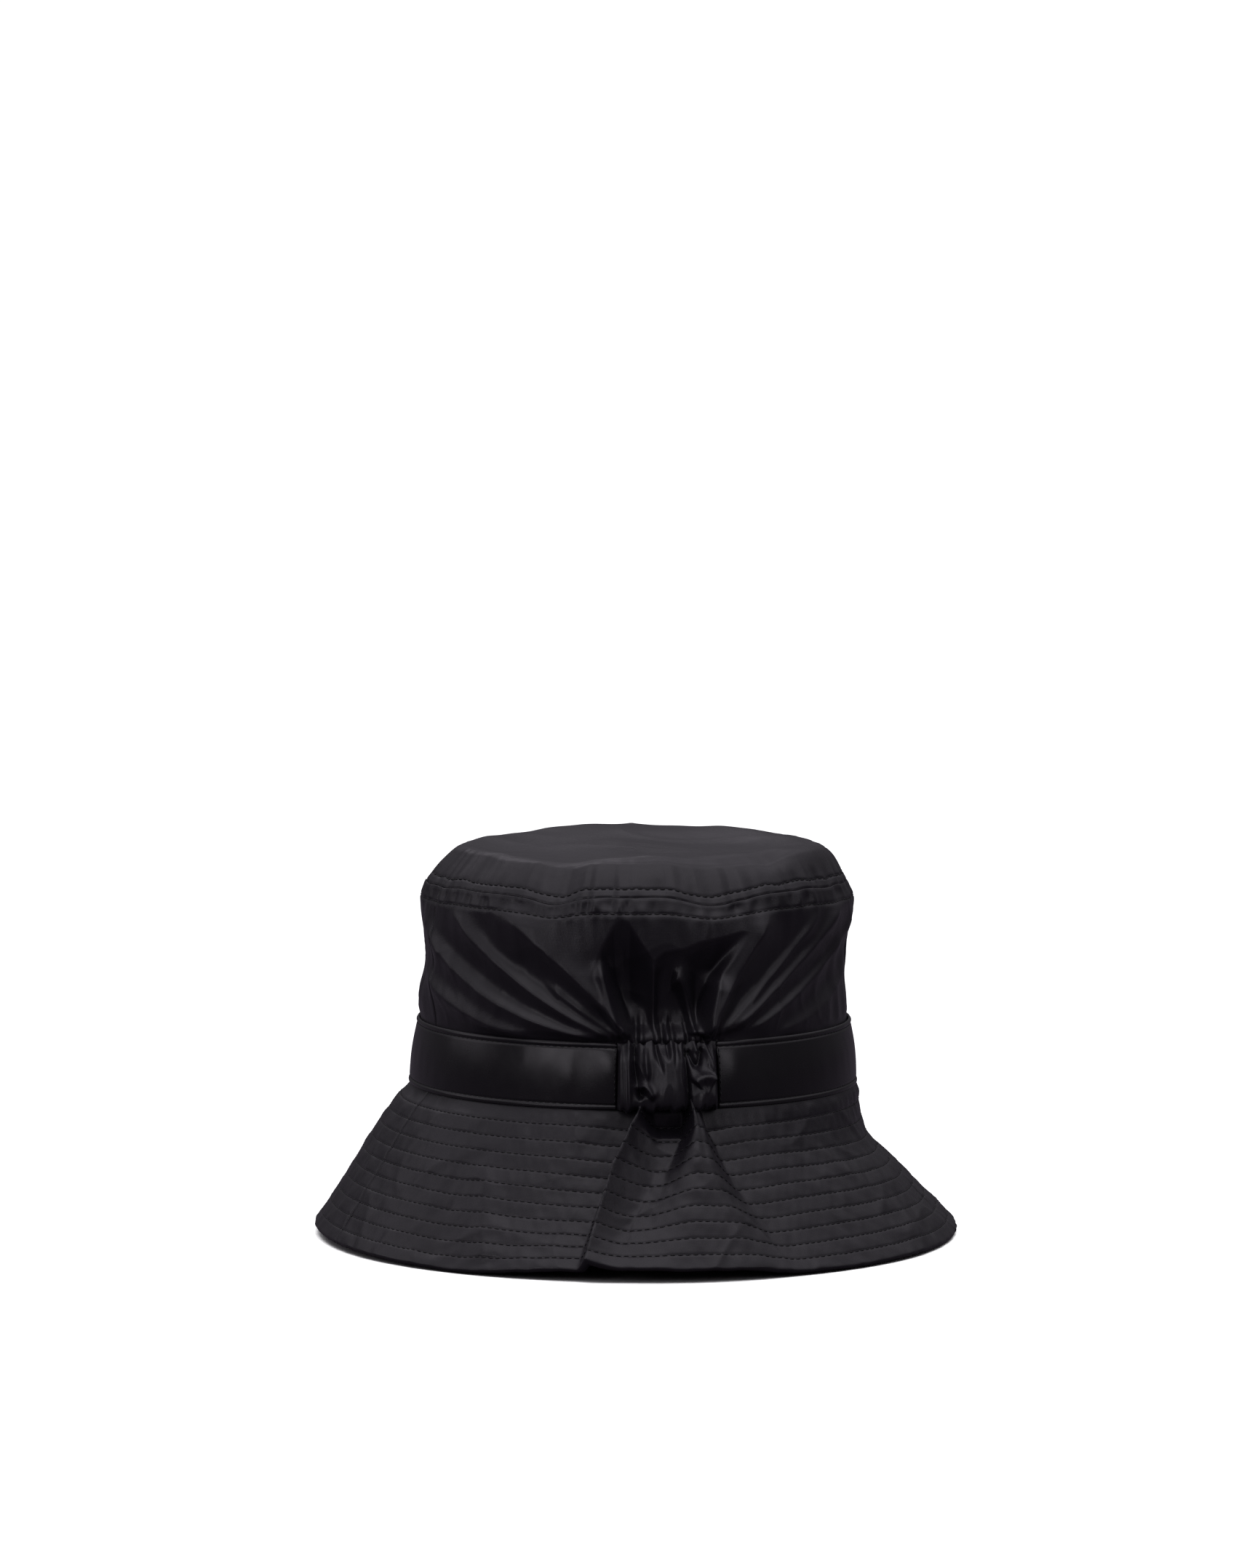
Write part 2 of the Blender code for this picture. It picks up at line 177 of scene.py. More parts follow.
def sheet(node, grid, cloth, thickness, body="hat_body", closed=False, hides=(), slot_name=None):
    """A sheet of cloth from a grid of points (columns, rows, 3), its outer face where the points are.

    Columns run round the hat and rows run down. Its UVs are metres along the cloth. It stands for a node
    and for those that it hides.
    """
    count, rows = grid.shape[:2]
    spans = count if closed else count - 1
    first = np.arange(spans)[:, None] * rows + np.arange(rows - 1)
    after = (np.arange(spans)[:, None] + 1) % count * rows + np.arange(rows - 1)
    faces = np.stack([first, first + 1, after + 1, after], axis=-1).reshape(-1, 4)

    mesh = bpy.data.meshes.new(node + "_cloth")
    mesh.from_pydata(grid.reshape(-1, 3), [], faces, shade_flat=False)
    u = np.repeat(lengths_along(grid[:, rows // 2]), rows)
    v = np.tile(lengths_along(grid[count // 2]), count)
    uv = np.stack([u, v], axis=-1)[faces.reshape(-1)]
    mesh.uv_layers.new(name="UVMap").data.foreach_set("uv", uv.reshape(-1).astype(np.float32))

    piece = add_piece(mesh, cloth, slot_name or cloth, body, node, *hides)
    solidify = piece.modifiers.new("thickness", "SOLIDIFY")
    solidify.thickness = thickness
    solidify.offset = -1


def grid_normals(grid):
    """Outward unit normals of a grid whose columns run round the hat towards +X at the gather."""
    around = np.gradient(grid, axis=0)
    down = np.gradient(grid, axis=1)
    normals = np.cross(down, around)
    return normals / np.maximum(np.linalg.norm(normals, axis=-1, keepdims=True), 1e-12)


def stitches(node, line, normals, pitch=3.0 * MM, radius=0.2 * MM, body="hat_body"):
    """A row of lock stitches along a line on the cloth: short threads whose ends dip into it."""
    gap, sides = 0.7 * MM, 6
    length = lengths_along(line)
    count = max(1, round(length[-1] / pitch))
    pitch = length[-1] / count
    shares = np.array([0.0, 0.14, 0.5, 0.86, 1.0])
    heights = np.array([-1.0, 0.25, 0.7, 0.25, -1.0]) * radius
    widths = np.array([0.45, 0.95, 1.0, 0.95, 0.45]) * radius
    starts = np.arange(count) * pitch + 0.5 * gap
    at = starts[:, None] + shares * (pitch - gap)

    def sample(values):
        return np.stack([np.interp(at, length, values[:, k]) for k in range(3)], axis=-1)

    up = sample(normals)
    up /= np.linalg.norm(up, axis=-1, keepdims=True)
    centre = sample(line) + up * heights[None, :, None]
    forward = np.gradient(centre, axis=1)
    forward /= np.linalg.norm(forward, axis=-1, keepdims=True)
    side = np.cross(forward, up)
    turn = np.arange(sides) * 2 * math.pi / sides
    ring = side[:, :, None] * np.cos(turn)[:, None] + up[:, :, None] * np.sin(turn)[:, None]
    points = centre[:, :, None] + ring * widths[None, :, None, None]

    per_stitch = len(shares) * sides
    faces = []
    for corner in range(per_stitch - sides):
        after = corner + 1 if (corner + 1) % sides else corner + 1 - sides
        faces.append((corner, corner + sides, after + sides, after))
    faces += [range(sides), range(per_stitch - 1, per_stitch - sides - 1, -1)]
    all_faces = [[i * per_stitch + corner for corner in face] for i in range(count) for face in faces]
    mesh = bpy.data.meshes.new(node + "_thread")
    mesh.from_pydata(points.reshape(-1, 3), [], all_faces, shade_flat=False)
    add_piece(mesh, "black_thread", "black_thread", body, node)


# ---- materials


class Nodes:
    """Short forms for building the node tree of a material or of the world."""

    def __init__(self, owner):
        self.owner = owner
        owner.use_nodes = True
        self.tree = owner.node_tree
        self.shader = self.tree.nodes.get("Principled BSDF")

    def link(self, output, target):
        self.tree.links.new(output, target)

    def fill(self, node, settings):
        """Put values or other nodes' outputs in a node's inputs, or values in its properties."""
        for name, value in settings.items():
            socket = node.inputs.get(name.replace("_", " "))
            if isinstance(value, bpy.types.NodeSocket):
                self.link(value, socket)
            elif socket:
                socket.default_value = value
            else:
                setattr(node, name, value)
        return node

    def add(self, kind, **settings):
        return self.fill(self.tree.nodes.new(kind), settings)

    def give(self, **settings):
        """Fill in the inputs of the material's shader."""
        self.fill(self.shader, settings)

    def uv(self):
        return self.add("ShaderNodeUVMap").outputs["UV"]

    def place(self):
        return self.add("ShaderNodeTexCoord").outputs["Object"]

    def noise(self, vector, scale, detail=3.0, roughness=0.5):
        node = self.add("ShaderNodeTexNoise", Vector=vector, Scale=scale, Detail=detail, Roughness=roughness)
        return node.outputs["Fac"]

    def waves(self, vector, direction, scale):
        node = self.add("ShaderNodeTexWave", Vector=vector, Scale=scale, bands_direction=direction)
        return node.outputs["Fac"]

    def maths(self, operation, first, second):
        node = self.add("ShaderNodeMath", operation=operation)
        self.link(first, node.inputs[0])
        self.link(second, node.inputs[1])
        return node.outputs[0]

    def spread(self, value, low, high):
        """A value of 0 to 1 spread over a range."""
        return self.add("ShaderNodeMapRange", Value=value, To_Min=low, To_Max=high).outputs["Result"]

    def blend(self, share, first, second):
        node = self.add("ShaderNodeMix", data_type="RGBA", Factor=share)
        node.inputs[6].default_value = (*first, 1)
        node.inputs[7].default_value = (*second, 1)
        return node.outputs[2]

    def bump(self, height, distance, strength, **after):
        """A bumped normal, on top of another one where it's given as Normal."""
        node = self.add("ShaderNodeBump", Height=height, Distance=distance, Strength=strength, **after)
        return node.outputs["Normal"]


def weave(nodes, pitch):
    """The height of a plain weave: warp and weft threads that pass over each other by turns."""
    across = nodes.uv()
    scale = 1 / (pitch * math.pi)
    return nodes.maths("MAXIMUM", nodes.waves(across, "X", scale), nodes.waves(across, "Y", scale))


def nylon_material(name, colour, light_colour, roughness, sheen, crumple, thread_height=0.03 * MM):
    """Woven nylon: a dark dielectric cloth with a soft sheen, a fine weave and tiny crumples."""
    nodes = Nodes(bpy.data.materials.new(name))
    place = nodes.place()
    patches = nodes.noise(place, 38, detail=4)
    gloss = nodes.noise(place, 120, detail=5, roughness=0.6)
    crumples = nodes.noise(place, 210, detail=6, roughness=0.55)
    surface = nodes.bump(crumples, crumple, 1.0)
    nodes.give(
        Base_Color=nodes.blend(nodes.spread(patches, -0.4, 1.4), colour, light_colour),
        Roughness=nodes.spread(gloss, roughness - 0.09, roughness + 0.09),
        Sheen_Weight=sheen,
        Sheen_Roughness=0.4,
        Sheen_Tint=(0.75, 0.72, 0.8, 1),
        Normal=nodes.bump(weave(nodes, 0.42 * MM), thread_height, 0.6, Normal=surface),
    )
    return nodes.owner


def tape_material(name, colour, rib_pitch):
    """Ribbed tape: upright ribs across its width, with painted shade that darkens the colour between them."""
    nodes = Nodes(bpy.data.materials.new(name))
    ribs = nodes.waves(nodes.uv(), "X", 1 / (rib_pitch * math.pi))
    surface = nodes.bump(nodes.noise(nodes.place(), 900), 0.04 * MM, 0.6)
    nodes.give(
        # Painted shade: between the ribs the colour is 0.6 as bright as on them.
        Base_Color=nodes.blend(ribs, tuple(0.6 * c for c in colour), colour),
        Roughness=0.7,
        Sheen_Weight=0.2,
        Normal=nodes.bump(ribs, 0.15 * MM, 0.8, Normal=surface),
    )
    return nodes.owner


def thread_material():
    """Twisted sewing thread, with a fine slanted twist."""
    nodes = Nodes(bpy.data.materials.new("black_sewing_thread"))
    twist = nodes.waves(nodes.place(), "DIAGONAL", 900)
    nodes.give(Base_Color=(0.006, 0.006, 0.007, 1), Roughness=0.55, Normal=nodes.bump(twist, 0.03 * MM, 0.5))
    return nodes.owner


def plain_cloth_material(name, colour, roughness, fuzz_size=700):
    """Cloth of one colour with faint patches and a fine fuzz."""
    nodes = Nodes(bpy.data.materials.new(name))
    place = nodes.place()
    patches = nodes.noise(place, 60, detail=4)
    fuzz = nodes.noise(place, fuzz_size, detail=4)
    nodes.give(
        Base_Color=nodes.blend(patches, tuple(0.8 * c for c in colour), colour),
        Roughness=roughness,
        Normal=nodes.bump(fuzz, 0.05 * MM, 0.7),
    )
    return nodes.owner


def make_materials():
    """Each cloth by its name."""
    return {
        "black_nylon": nylon_material(
            "black_nylon", (0.0096, 0.0080, 0.0116), (0.0156, 0.0134, 0.0184), 0.34, 0.045, 0.10 * MM
        ),
        "black_satin": nylon_material(
            "black_satin", (0.0092, 0.0081, 0.0100), (0.0130, 0.0115, 0.0140), 0.25, 0.03, 0.02 * MM,
            thread_height=0.008 * MM,
        ),
        "black_lining": nylon_material(
            "black_lining", (0.010, 0.010, 0.011), (0.018, 0.018, 0.019), 0.55, 0.05, 0.10 * MM
        ),
        "ribbed_tape": tape_material("black_ribbed_tape", (0.014, 0.014, 0.016), 1.1 * MM),
        "black_thread": thread_material(),
        "label_satin": plain_cloth_material("white_satin_label", (0.62, 0.62, 0.60), 0.42),
        "grey_interlining": plain_cloth_material("grey_interlining", (0.25, 0.25, 0.25), 0.9, fuzz_size=400),
        "black_elastic": plain_cloth_material("black_elastic", (0.012, 0.012, 0.012), 0.8, fuzz_size=900),
    }


MATERIALS = make_materials()


# ---- folds drawn on a surface


class Fold(NamedTuple):
    """A ridge, or with a negative height a valley, along a bent line on a surface.

    Places are (degrees from the gather, share of the surface's height), widths and height in millimetres.
    The line starts far from the gather and ends near it, and fades over these shares of its length.
    Below the line the width is multiplied by the lean. A higher crest power makes the top flatter.
    """

    far: tuple
    bend: tuple
    near: tuple
    height: float
    wide: float
    narrow: float
    lean: float = 0.6
    fade: tuple = (0.25, 0.1)
    crest: float = 1.5

    def relief(self, degrees, share, mm_per_degree, mm_high):
        """The fold's height in millimetres at each point."""
        steps = 24
        t = np.linspace(0, 1, steps + 1)[:, None]
        scale = np.array([mm_per_degree, mm_high])
        far, bend, near = (np.array(p) * scale for p in (self.far, self.bend, self.near))
        line = far * (1 - t) ** 2 + 2 * bend * t * (1 - t) + near * t**2
        x, y = degrees * mm_per_degree, share * mm_high
        best = np.full(x.shape, 1e9)
        along = np.zeros(x.shape)
        side = np.zeros(x.shape)
        for i in range(steps):
            a, b = line[i], line[i + 1]
            step = b - a
            part = np.clip(((x - a[0]) * step[0] + (y - a[1]) * step[1]) / (step @ step), 0, 1)
            away_x, away_y = x - a[0] - part * step[0], y - a[1] - part * step[1]
            distance = np.hypot(away_x, away_y)
            closer = distance < best
            best = np.where(closer, distance, best)
            along = np.where(closer, (i + part) / steps, along)
            turn = (step[0] * away_y - step[1] * away_x) * (1 if step[0] > 0 else -1)
            side = np.where(closer, np.sign(turn), side)
        width = self.wide + (self.narrow - self.wide) * along
        width = np.where(side < 0, width * self.lean, width)
        start, end = self.fade
        strength = smooth(0, start, along) if start else 1.0
        if end:
            strength = strength * smooth(1, 1 - end, along)
        return self.height * strength * np.exp(-((best / width) ** self.crest))


# ---- the crown's shape

WALL_MM_PER_DEGREE = 1.60
# Each fold: far end, bend, near end, height, width at the far and the near end, lean, fade, crest power
CROWN_FOLDS = [
    # left of the gather, from the lowest fold up
    Fold((-88, 0.5), (-60, 0.1), (-34, 0), 3, 8, 3.4, 0.8),
    Fold((-90, 0.92), (-52, 0.18), (-16, 0.01), 3.6, 5, 1.7, 1.9),
    Fold((-70, 0.98), (-38, 0.34), (-13, 0.01), 3.4, 4, 1.5, 1.9),
    Fold((-50, 1), (-24, 0.58), (-9, 0.02), 4.4, 10, 2, 0.9),
    Fold((-34, 0.46), (-23, 0.24), (-11, 0.01), 1.5, 2.4, 1.1, 1.3),
    # right of the gather, from the highest fold down
    Fold((31, 0.96), (17.5, 0.56), (9.5, 0.02), 4.4, 6, 2.4, 1.2),
    Fold((52, 0.94), (31, 0.5), (12.5, 0.02), 2, 2.6, 1.2, 1.9),
    Fold((66, 1.02), (42, 0.56), (15, 0.05), 3, 4, 1.5, 1.9),
    Fold((82, 0.96), (54, 0.44), (20, 0.04), 2, 4, 1.6, 1.9),
    Fold((84, 0.6), (60, 0.16), (30, 0.02), 1, 6, 2.6, 1),
    # the soft curl of cloth in the right hollow with the column beside it, and those in the left hollow
    Fold((1, 0.48), (5.5, 0.48), (6.6, 0.04), 4.6, 4.4, 2, 0.8, (0.15, 0.05), 1.9),
    Fold((13.5, 0.52), (11.5, 0.28), (9.4, 0.03), 4.2, 4.2, 2.2, 1, (0.3, 0.05)),
    Fold((-17, 0.62), (-16.5, 0.34), (-11, 0.02), 4.4, 4.4, 1.8, 0.9),
    Fold((-4, 0.64), (-4, 0.4), (-3.6, 0.05), 1.6, 1.8, 1.2, 0.9),
]
# Over the casing the cloth hangs slack and sinks in under this edge: (degrees, share of the wall's height)
HOLLOW_EDGE = [(-20, 0.5), (-17, 0.7), (-14, 0.84), (-12, 0.875), (-10, 0.86), (-8, 0.78), (-3.8, 0.61),
               (-1, 0.67), (4, 0.69), (8, 0.74), (13, 0.765), (20, 0.8), (24, 0.78)]
HOLLOW_LEFT = [(0, -9), (0.2, -12), (0.45, -15.5), (0.7, -18.5), (1, -19)]
HOLLOW_RIGHT = [(0, 8.5), (0.2, 9.5), (0.45, 12.5), (0.6, 16.5), (0.8, 21.5), (1, 22)]
HOLLOW_DEPTH = 8.5  # mm
HOLLOW_LEAN = 11.0  # mm that the cloth above the hollow would gain over the wall's whole height
# Places where the crown's top seam is pulled down, or stands up: (degrees, width in degrees, mm)
SEAM_DIPS = [(-31, 6, -3.4), (12.8, 8, -3.4), (-9, 9, 0.8), (46, 14, 0.8), (150, 40, -1.6), (-120, 30, -1.0)]
SEAM_LIFT = 3.0  # mm
# Where the wall swells or sinks: (mm, share of its height, reach of it, degrees, width in degrees)
WALL_SWELLS = [(-1.4, 0.42, 0.30, 44, 22), (2.4, 0.22, 0.15, -98, 30), (2.4, 0.92, 0.22, 84, 34)]
WALL_ROW = CROWN_SEAM - 4.9 * MM
WALL_HIGH = CROWN_SEAM - BAND_TOP
BAND_TOP_R = 88.2 * MM
BAND_LOW_R = 91.0 * MM


def crown_seam_lift(degrees):
    """How far the crown's top seam rises or dips round the hat."""
    lift = SEAM_LIFT + sum(height * lobe(degrees, centre, width) for centre, width, height in SEAM_DIPS)
    angle = np.radians(degrees)
    lift = lift + 0.25 * np.sin(11 * angle + 0.7) + 0.2 * np.sin(23 * angle + 2.0)
    return lift * MM


def hollow_relief(degrees, share):
    """How far the slack cloth over the casing sinks in, in millimetres: crisp at its top edge."""
    edge = through(HOLLOW_EDGE, degrees)
    left, right = through(HOLLOW_LEFT, share), through(HOLLOW_RIGHT, share)
    inside = smooth(left - 1.2, left + 1.6, degrees) * (1 - smooth(right - 1.6, right + 1.2, degrees))
    below = np.clip((edge - share) / 0.55, 0, 1)
    sink = 1 - (1 - below) ** 1.6
    slope = HOLLOW_LEAN * np.clip(1 - share, 0, 1 - edge)
    returning = 0.45 + 0.55 * smooth(0.0, 0.30, share)
    return slope * lobe(degrees, 1, 24) * smooth(0, 0.3, share) - HOLLOW_DEPTH * sink * inside * returning


def gather_relief(degrees, share):
    """The short upright pleats just over the casing, in millimetres."""
    low, high = CASING_ENDS
    inside = smooth(low - 3, low + 1, degrees) * (1 - smooth(high - 1, high + 3, degrees))
    wander = 0.9 * np.sin(share * 9 + degrees * 0.35)
    pleats = np.cos(degrees * 1.75 + wander) + 0.5 * np.cos(degrees * 2.9 + 1.1 - wander)
    return inside * (1.1 * pleats + 0.9) * (1 - smooth(0.0, 0.26, share)) * smooth(-0.03, 0.02, share)


def front_drapes(degrees, share):
    """Soft slack folds on the side away from the gather, in millimetres."""
    front = 1 - lobe(degrees, 0, 110)
    angle = np.radians(degrees)
    slant = 2.0 * share
    drapes = 0.9 * np.sin(5 * angle + slant + 0.4) + 0.7 * np.sin(9 * angle - 2.6 * share + 1.7)
    drapes = drapes + 0.45 * np.sin(16 * angle + 3.5 * share)
    return front * drapes * smooth(0.0, 0.25, share) * (1 - smooth(0.72, 0.98, share))


def wall_radius(degrees, height):
    """The half-width of the crown wall's outer face."""
    degrees, height = np.broadcast_arrays(degrees, height)
    degrees = turned(degrees, 0)
    share = (height - BAND_TOP) / WALL_HIGH
    behind = np.clip(-share, 0, 1)
    base = BAND_TOP_R - 1.0 * MM + (CROWN_R - BAND_TOP_R + 1.0 * MM) * np.clip(share, 0, 1) ** 0.8
    base = base + behind * (BAND_LOW_R - BAND_TOP_R) * 2.0
    base = base - 1.9 * MM * hump(share, 0.42, 0.30) - 1.9 * MM * smooth(0.87, 1.0, share)
    for mm, place, reach, centre, width in WALL_SWELLS:
        base = base + mm * MM * hump(share, place, reach) * lobe(degrees, centre, width)
    folds = sum(fold.relief(degrees, share, WALL_MM_PER_DEGREE, WALL_HIGH / MM) for fold in CROWN_FOLDS)
    folds = folds * smooth(-0.05, 0.07, share) * (1 - 0.9 * smooth(0.82, 0.97, share))
    relief = folds + hollow_relief(degrees, share) * smooth(0.02, 0.14, share)
    relief = relief + gather_relief(degrees, share) + front_drapes(degrees, share)
    flat = on_oval(degrees, base, height)
    wrinkles = 0.22 * ripple(flat, 13 * MM, 5, (1, 1, 1.8)) + 0.3 * creases(flat, 26 * MM, 8, (1, 1, 1.3))
    puckers = ripple(flat, 6 * MM, 11, (1, 1, 3.0)) * (0.06 + 0.46 * hump(share, 0.95, 0.06))
    relief = relief + (wrinkles + puckers) * smooth(0.0, 0.08, share)
    stitch_share = (WALL_ROW - BAND_TOP) / WALL_HIGH
    relief = relief - 0.34 * hump(share, stitch_share, 0.010) - 0.42 * hump(share, 1.0, 0.010)
    for seam in (-SIDE_SEAM, SIDE_SEAM):
        relief = relief - 0.25 * lobe(degrees, seam, 0.45)
    return base + relief * MM


def wall_point(degrees, height, inset=0.0):
    """A point on the crown wall, or this far inside it."""
    share = np.clip((height - BAND_TOP) / WALL_HIGH, 0, 1)
    lifted = height + crown_seam_lift(degrees) * share**5
    return on_oval(degrees, wall_radius(degrees, height) - inset, lifted)


def softened(points, spread):
    """A profile through (place, value) points with its corners rounded, as two arrays to interpolate in."""
    places, values = np.array(points, float).T
    dense = np.linspace(places[0], places[-1], 400)
    reach = np.linspace(-2, 2, 21)
    weights = np.exp(-(reach**2))
    weights /= weights.sum()
    around = np.clip(dense[:, None] + spread * reach, places[0], places[-1])
    soft = np.interp(around, places, values) @ weights
    ends = np.clip(np.minimum(dense - places[0], places[-1] - dense) / (2 * spread), 0, 1)
    return dense, soft * ends + np.interp(dense, places, values) * (1 - ends)


# The tip from its middle to its seam: (share of its half-width, height over the seam in mm)
TIP_PROFILE = softened(
    [(0, 16.6), (0.40, 16.0), (0.65, 16.7), (0.78, 17.3), (0.80, 17.2), (0.85, 16.2), (0.877, 14.8),
     (0.905, 11.8), (0.94, 7.6), (1.0, 0)],
    0.007,
)
TIP_ROW_SHARE = 0.974
# Places where the crease round the top sinks: (degrees, width in degrees, mm)
CREASE_DIPS = [(37, 10, -4.0), (23, 10, -2.2), (-2, 12, -2.2), (-18, 12, -0.8), (-34, 12, 0.8),
               (-70, 25, 1.0)]
# Soft creases across the top: (x, y, direction in degrees, half length, half width, height), in mm
TOP_CREASES = [
    (15, 8, -42, 24, 5, 0.7),
    (24, 36, -20, 40, 10, -0.7),
    (-26, 20, 12, 34, 9, 0.6),
    (-8, -26, -6, 26, 7, -0.5),
]


def top_creases(place):
    """Relief of the soft creases across the top, in millimetres."""
    relief = np.zeros(place.shape[:-1])
    for x, y, direction, half_length, half_width, height in TOP_CREASES:
        turn = math.radians(direction)
        from_x = place[..., 0] / MM - x
        from_y = place[..., 1] / MM - y
        along = from_x * math.cos(turn) + from_y * math.sin(turn)
        across = from_y * math.cos(turn) - from_x * math.sin(turn)
        relief += height * hump(along, 0, half_length) * hump(across, 0, half_width)
    return relief


def tip_point(degrees, share, inset=0.0):
    """A point on the tip: share 0 is its middle and 1 its seam with the wall."""
    degrees, share = np.broadcast_arrays(degrees, share)
    edge = on_oval(degrees, CROWN_R, CROWN_SEAM)
    radius = CROWN_R * share
    height = np.interp(share, *TIP_PROFILE) * MM
    place = on_oval(degrees, radius, 0)
    left = smooth(0, 45 * MM, -place[..., 0])
    waves = 1.5 * ripple(place, 95 * MM, 21, (1.6, 1, 1)) + 0.45 * ripple(place, 34 * MM, 22, (2.2, 1, 1))
    waves = waves + 0.4 * creases(place, 75 * MM, 27) - 2.8 * left + top_creases(place)
    dips = sum(height_mm * lobe(degrees, centre, width) for centre, width, height_mm in CREASE_DIPS)
    waves = waves + dips * hump(share, 0.88, 0.09)
    dents = 0.10 * ripple(edge, 7 * MM, 24) + 0.30 * ripple(edge + place, 20 * MM, 26, (1.4, 1.4, 1))
    relief = waves * smooth(0.97, 0.84, share) + dents * smooth(0.8, 0.92, share) * smooth(1.0, 0.97, share)
    sideways = 2.2 * lobe(degrees, 82, 55) - 1.6 * lobe(degrees, -98, 55)
    puckers = ripple(edge, 8 * MM, 25, (1, 1, 4)) * hump(share, TIP_ROW_SHARE, 0.03)
    groove = -0.34 * hump(share, TIP_ROW_SHARE, 0.004) - 0.42 * hump(share, 1.0, 0.005)
    height = height + relief * MM - inset * (1 - share**4)
    pull = wall_radius(turned(degrees, 0), CROWN_SEAM) - CROWN_R
    spread = sideways * hump(share, 0.88, 0.08) + 0.35 * puckers + groove
    radius = radius + pull * smooth(0.7, 1.0, share) + spread * MM - inset * share**4
    height = height + crown_seam_lift(degrees) * smooth(0.55, 1.0, share) + CROWN_SEAM
    return on_oval(degrees, radius, height)


# ---- the brim's shape

BRIM_START_R = BAND_LOW_R
BRIM_START_SLOPE = 0.42  # how fast the brim widens as it leaves the band
BRIM_HALF_THICK = 1.1 * MM
BRIM_EDGE_Z = BRIM_HALF_THICK
BRIM_ROWS = 10
FIRST_ROW = 6.0 * MM
LAST_ROW_TO_EDGE = 5.2 * MM


def brim_table():
    """The brim's base profile as arrays: the way down the cloth, radius, height and outward normal."""
    down = np.linspace(0, HEAD_SEAM - BRIM_EDGE_Z, 200)
    drop = down[-1]
    bend = (BRIM_R - BRIM_START_R - BRIM_START_SLOPE * drop) / drop**2
    radius = BRIM_START_R + BRIM_START_SLOPE * down + bend * down**2
    slope = BRIM_START_SLOPE + 2 * bend * down
    way = np.concatenate([[0], np.cumsum(np.hypot(np.diff(radius), np.diff(down)))])
    size = np.sqrt(1 + slope**2)
    return way, radius, HEAD_SEAM - down, 1 / size, slope / size


BRIM_WAY, BRIM_RADII, BRIM_HEIGHTS, BRIM_NORMAL_R, BRIM_NORMAL_Z = brim_table()
BRIM_LENGTH = BRIM_WAY[-1]
BRIM_ROW_WAYS = np.linspace(FIRST_ROW, BRIM_LENGTH - LAST_ROW_TO_EDGE, BRIM_ROWS)
ROW_SPACING = BRIM_ROW_WAYS[1] - BRIM_ROW_WAYS[0]
BRIM_MM_PER_DEGREE = 1.95
BRIM_FOLDS = [
    # soft upright creases away from the gather
    Fold((-35.5, 0.02), (-40, 0.4), (-43.5, 0.75), 1.5, 7, 5, 0.8, (0.1, 0.3)),
    Fold((-48, 0.02), (-49, 0.4), (-50, 0.75), -1.1, 8, 6, 1, (0.1, 0.3)),
    Fold((56, 0.02), (50, 0.45), (36, 0.85), 1, 9, 5, 0.8, (0.15, 0.3)),
    Fold((68, 0.02), (62, 0.45), (52, 0.85), 0.9, 9, 6, 0.8, (0.15, 0.3)),
]
# The gathered cloth under the casing, as lines that run down the brim. Each has its angle in degrees, how far
# the cloth is pulled up and how far it stands out in mm, at these shares of the way down.
GATHER_STATIONS = [0, 0.09, 0.16, 0.4, 0.7, 0.92, 1]
GATHER_LINES = [
    # (name, degrees, pulled up, standing out)
    ("left start", [-22, -24, -27, -32, -38, -42, -44], [0] * 7, [0] * 7),
    ("left foot", [-6.8, -9, -10.6, -14.6, -17.2, -18.2, -18.4], [-1, -1.4, -1.6, -1.6, 0, 3.3, 4],
     [0, -0.5, -1, -1, -0.5, 0, 0]),
    ("left ridge", [-6.9, -7.8, -9.3, -13.2, -15.6, -16.6, -16.8], [7, 8, 8.4, 8.2, 7, 7.6, 8.8],
     [4.5, 4.5, 4.6, 6, 5.6, 4.6, 4.2]),
    ("valley left", [-3.6, -3, -2.3, -4.4, -9.4, -10.6, -10.8], [-1, -1, 0.2, 1.6, 2.2, 4.8, 5.4],
     [-1, -5, -1.2, -0.8, 0.2, 1.4, 2]),
    ("valley right", [3.2, 3, 2.4, -3.2, -8.6, -9.8, -10], [-1, -1, 0.2, 1.8, 2.6, 5, 5.4],
     [-1, -5, -1.2, -0.4, 0.6, 1.6, 2]),
    ("right ridge", [4.6, 5.2, 5.5, 4.6, 3.2, 2.4, 2.2], [6.6, 7.2, 7.4, 8, 7.2, 5.8, 5.2],
     [4.5, 4.5, 4.4, 4.8, 4.2, 3.2, 3]),
    ("right shoulder", [5.2, 5.9, 6.4, 6.9, 8.6, 9.8, 10.2], [6.4, 6.6, 6.7, 7.3, 6.6, 5.2, 4.8],
     [4.2, 4, 4, 4.4, 3.8, 2.8, 2.5]),
    ("right valley", [8.2, 9.6, 10.8, 13.6, 18.6, 22.3, 23.5], [-0.5, -2.4, -1.7, -0.8, 0.2, 1, 1.3],
     [-0.5, -0.8, -0.8, -0.6, -0.4, 0, 0]),
    ("right slack", [15, 18, 21, 26, 32, 36, 38], [0, -0.8, -0.2, 1, 1.2, 1.1, 1],
     [0, 0, 0, 0.4, 0.4, 0, 0]),
    ("right end", [50, 54, 60, 68, 78, 88, 92], [0] * 7, [0] * 7),
]
SHARP_LINE = "left ridge"
FIRM_LINE = "valley left"  # the cloth beside it is straighter


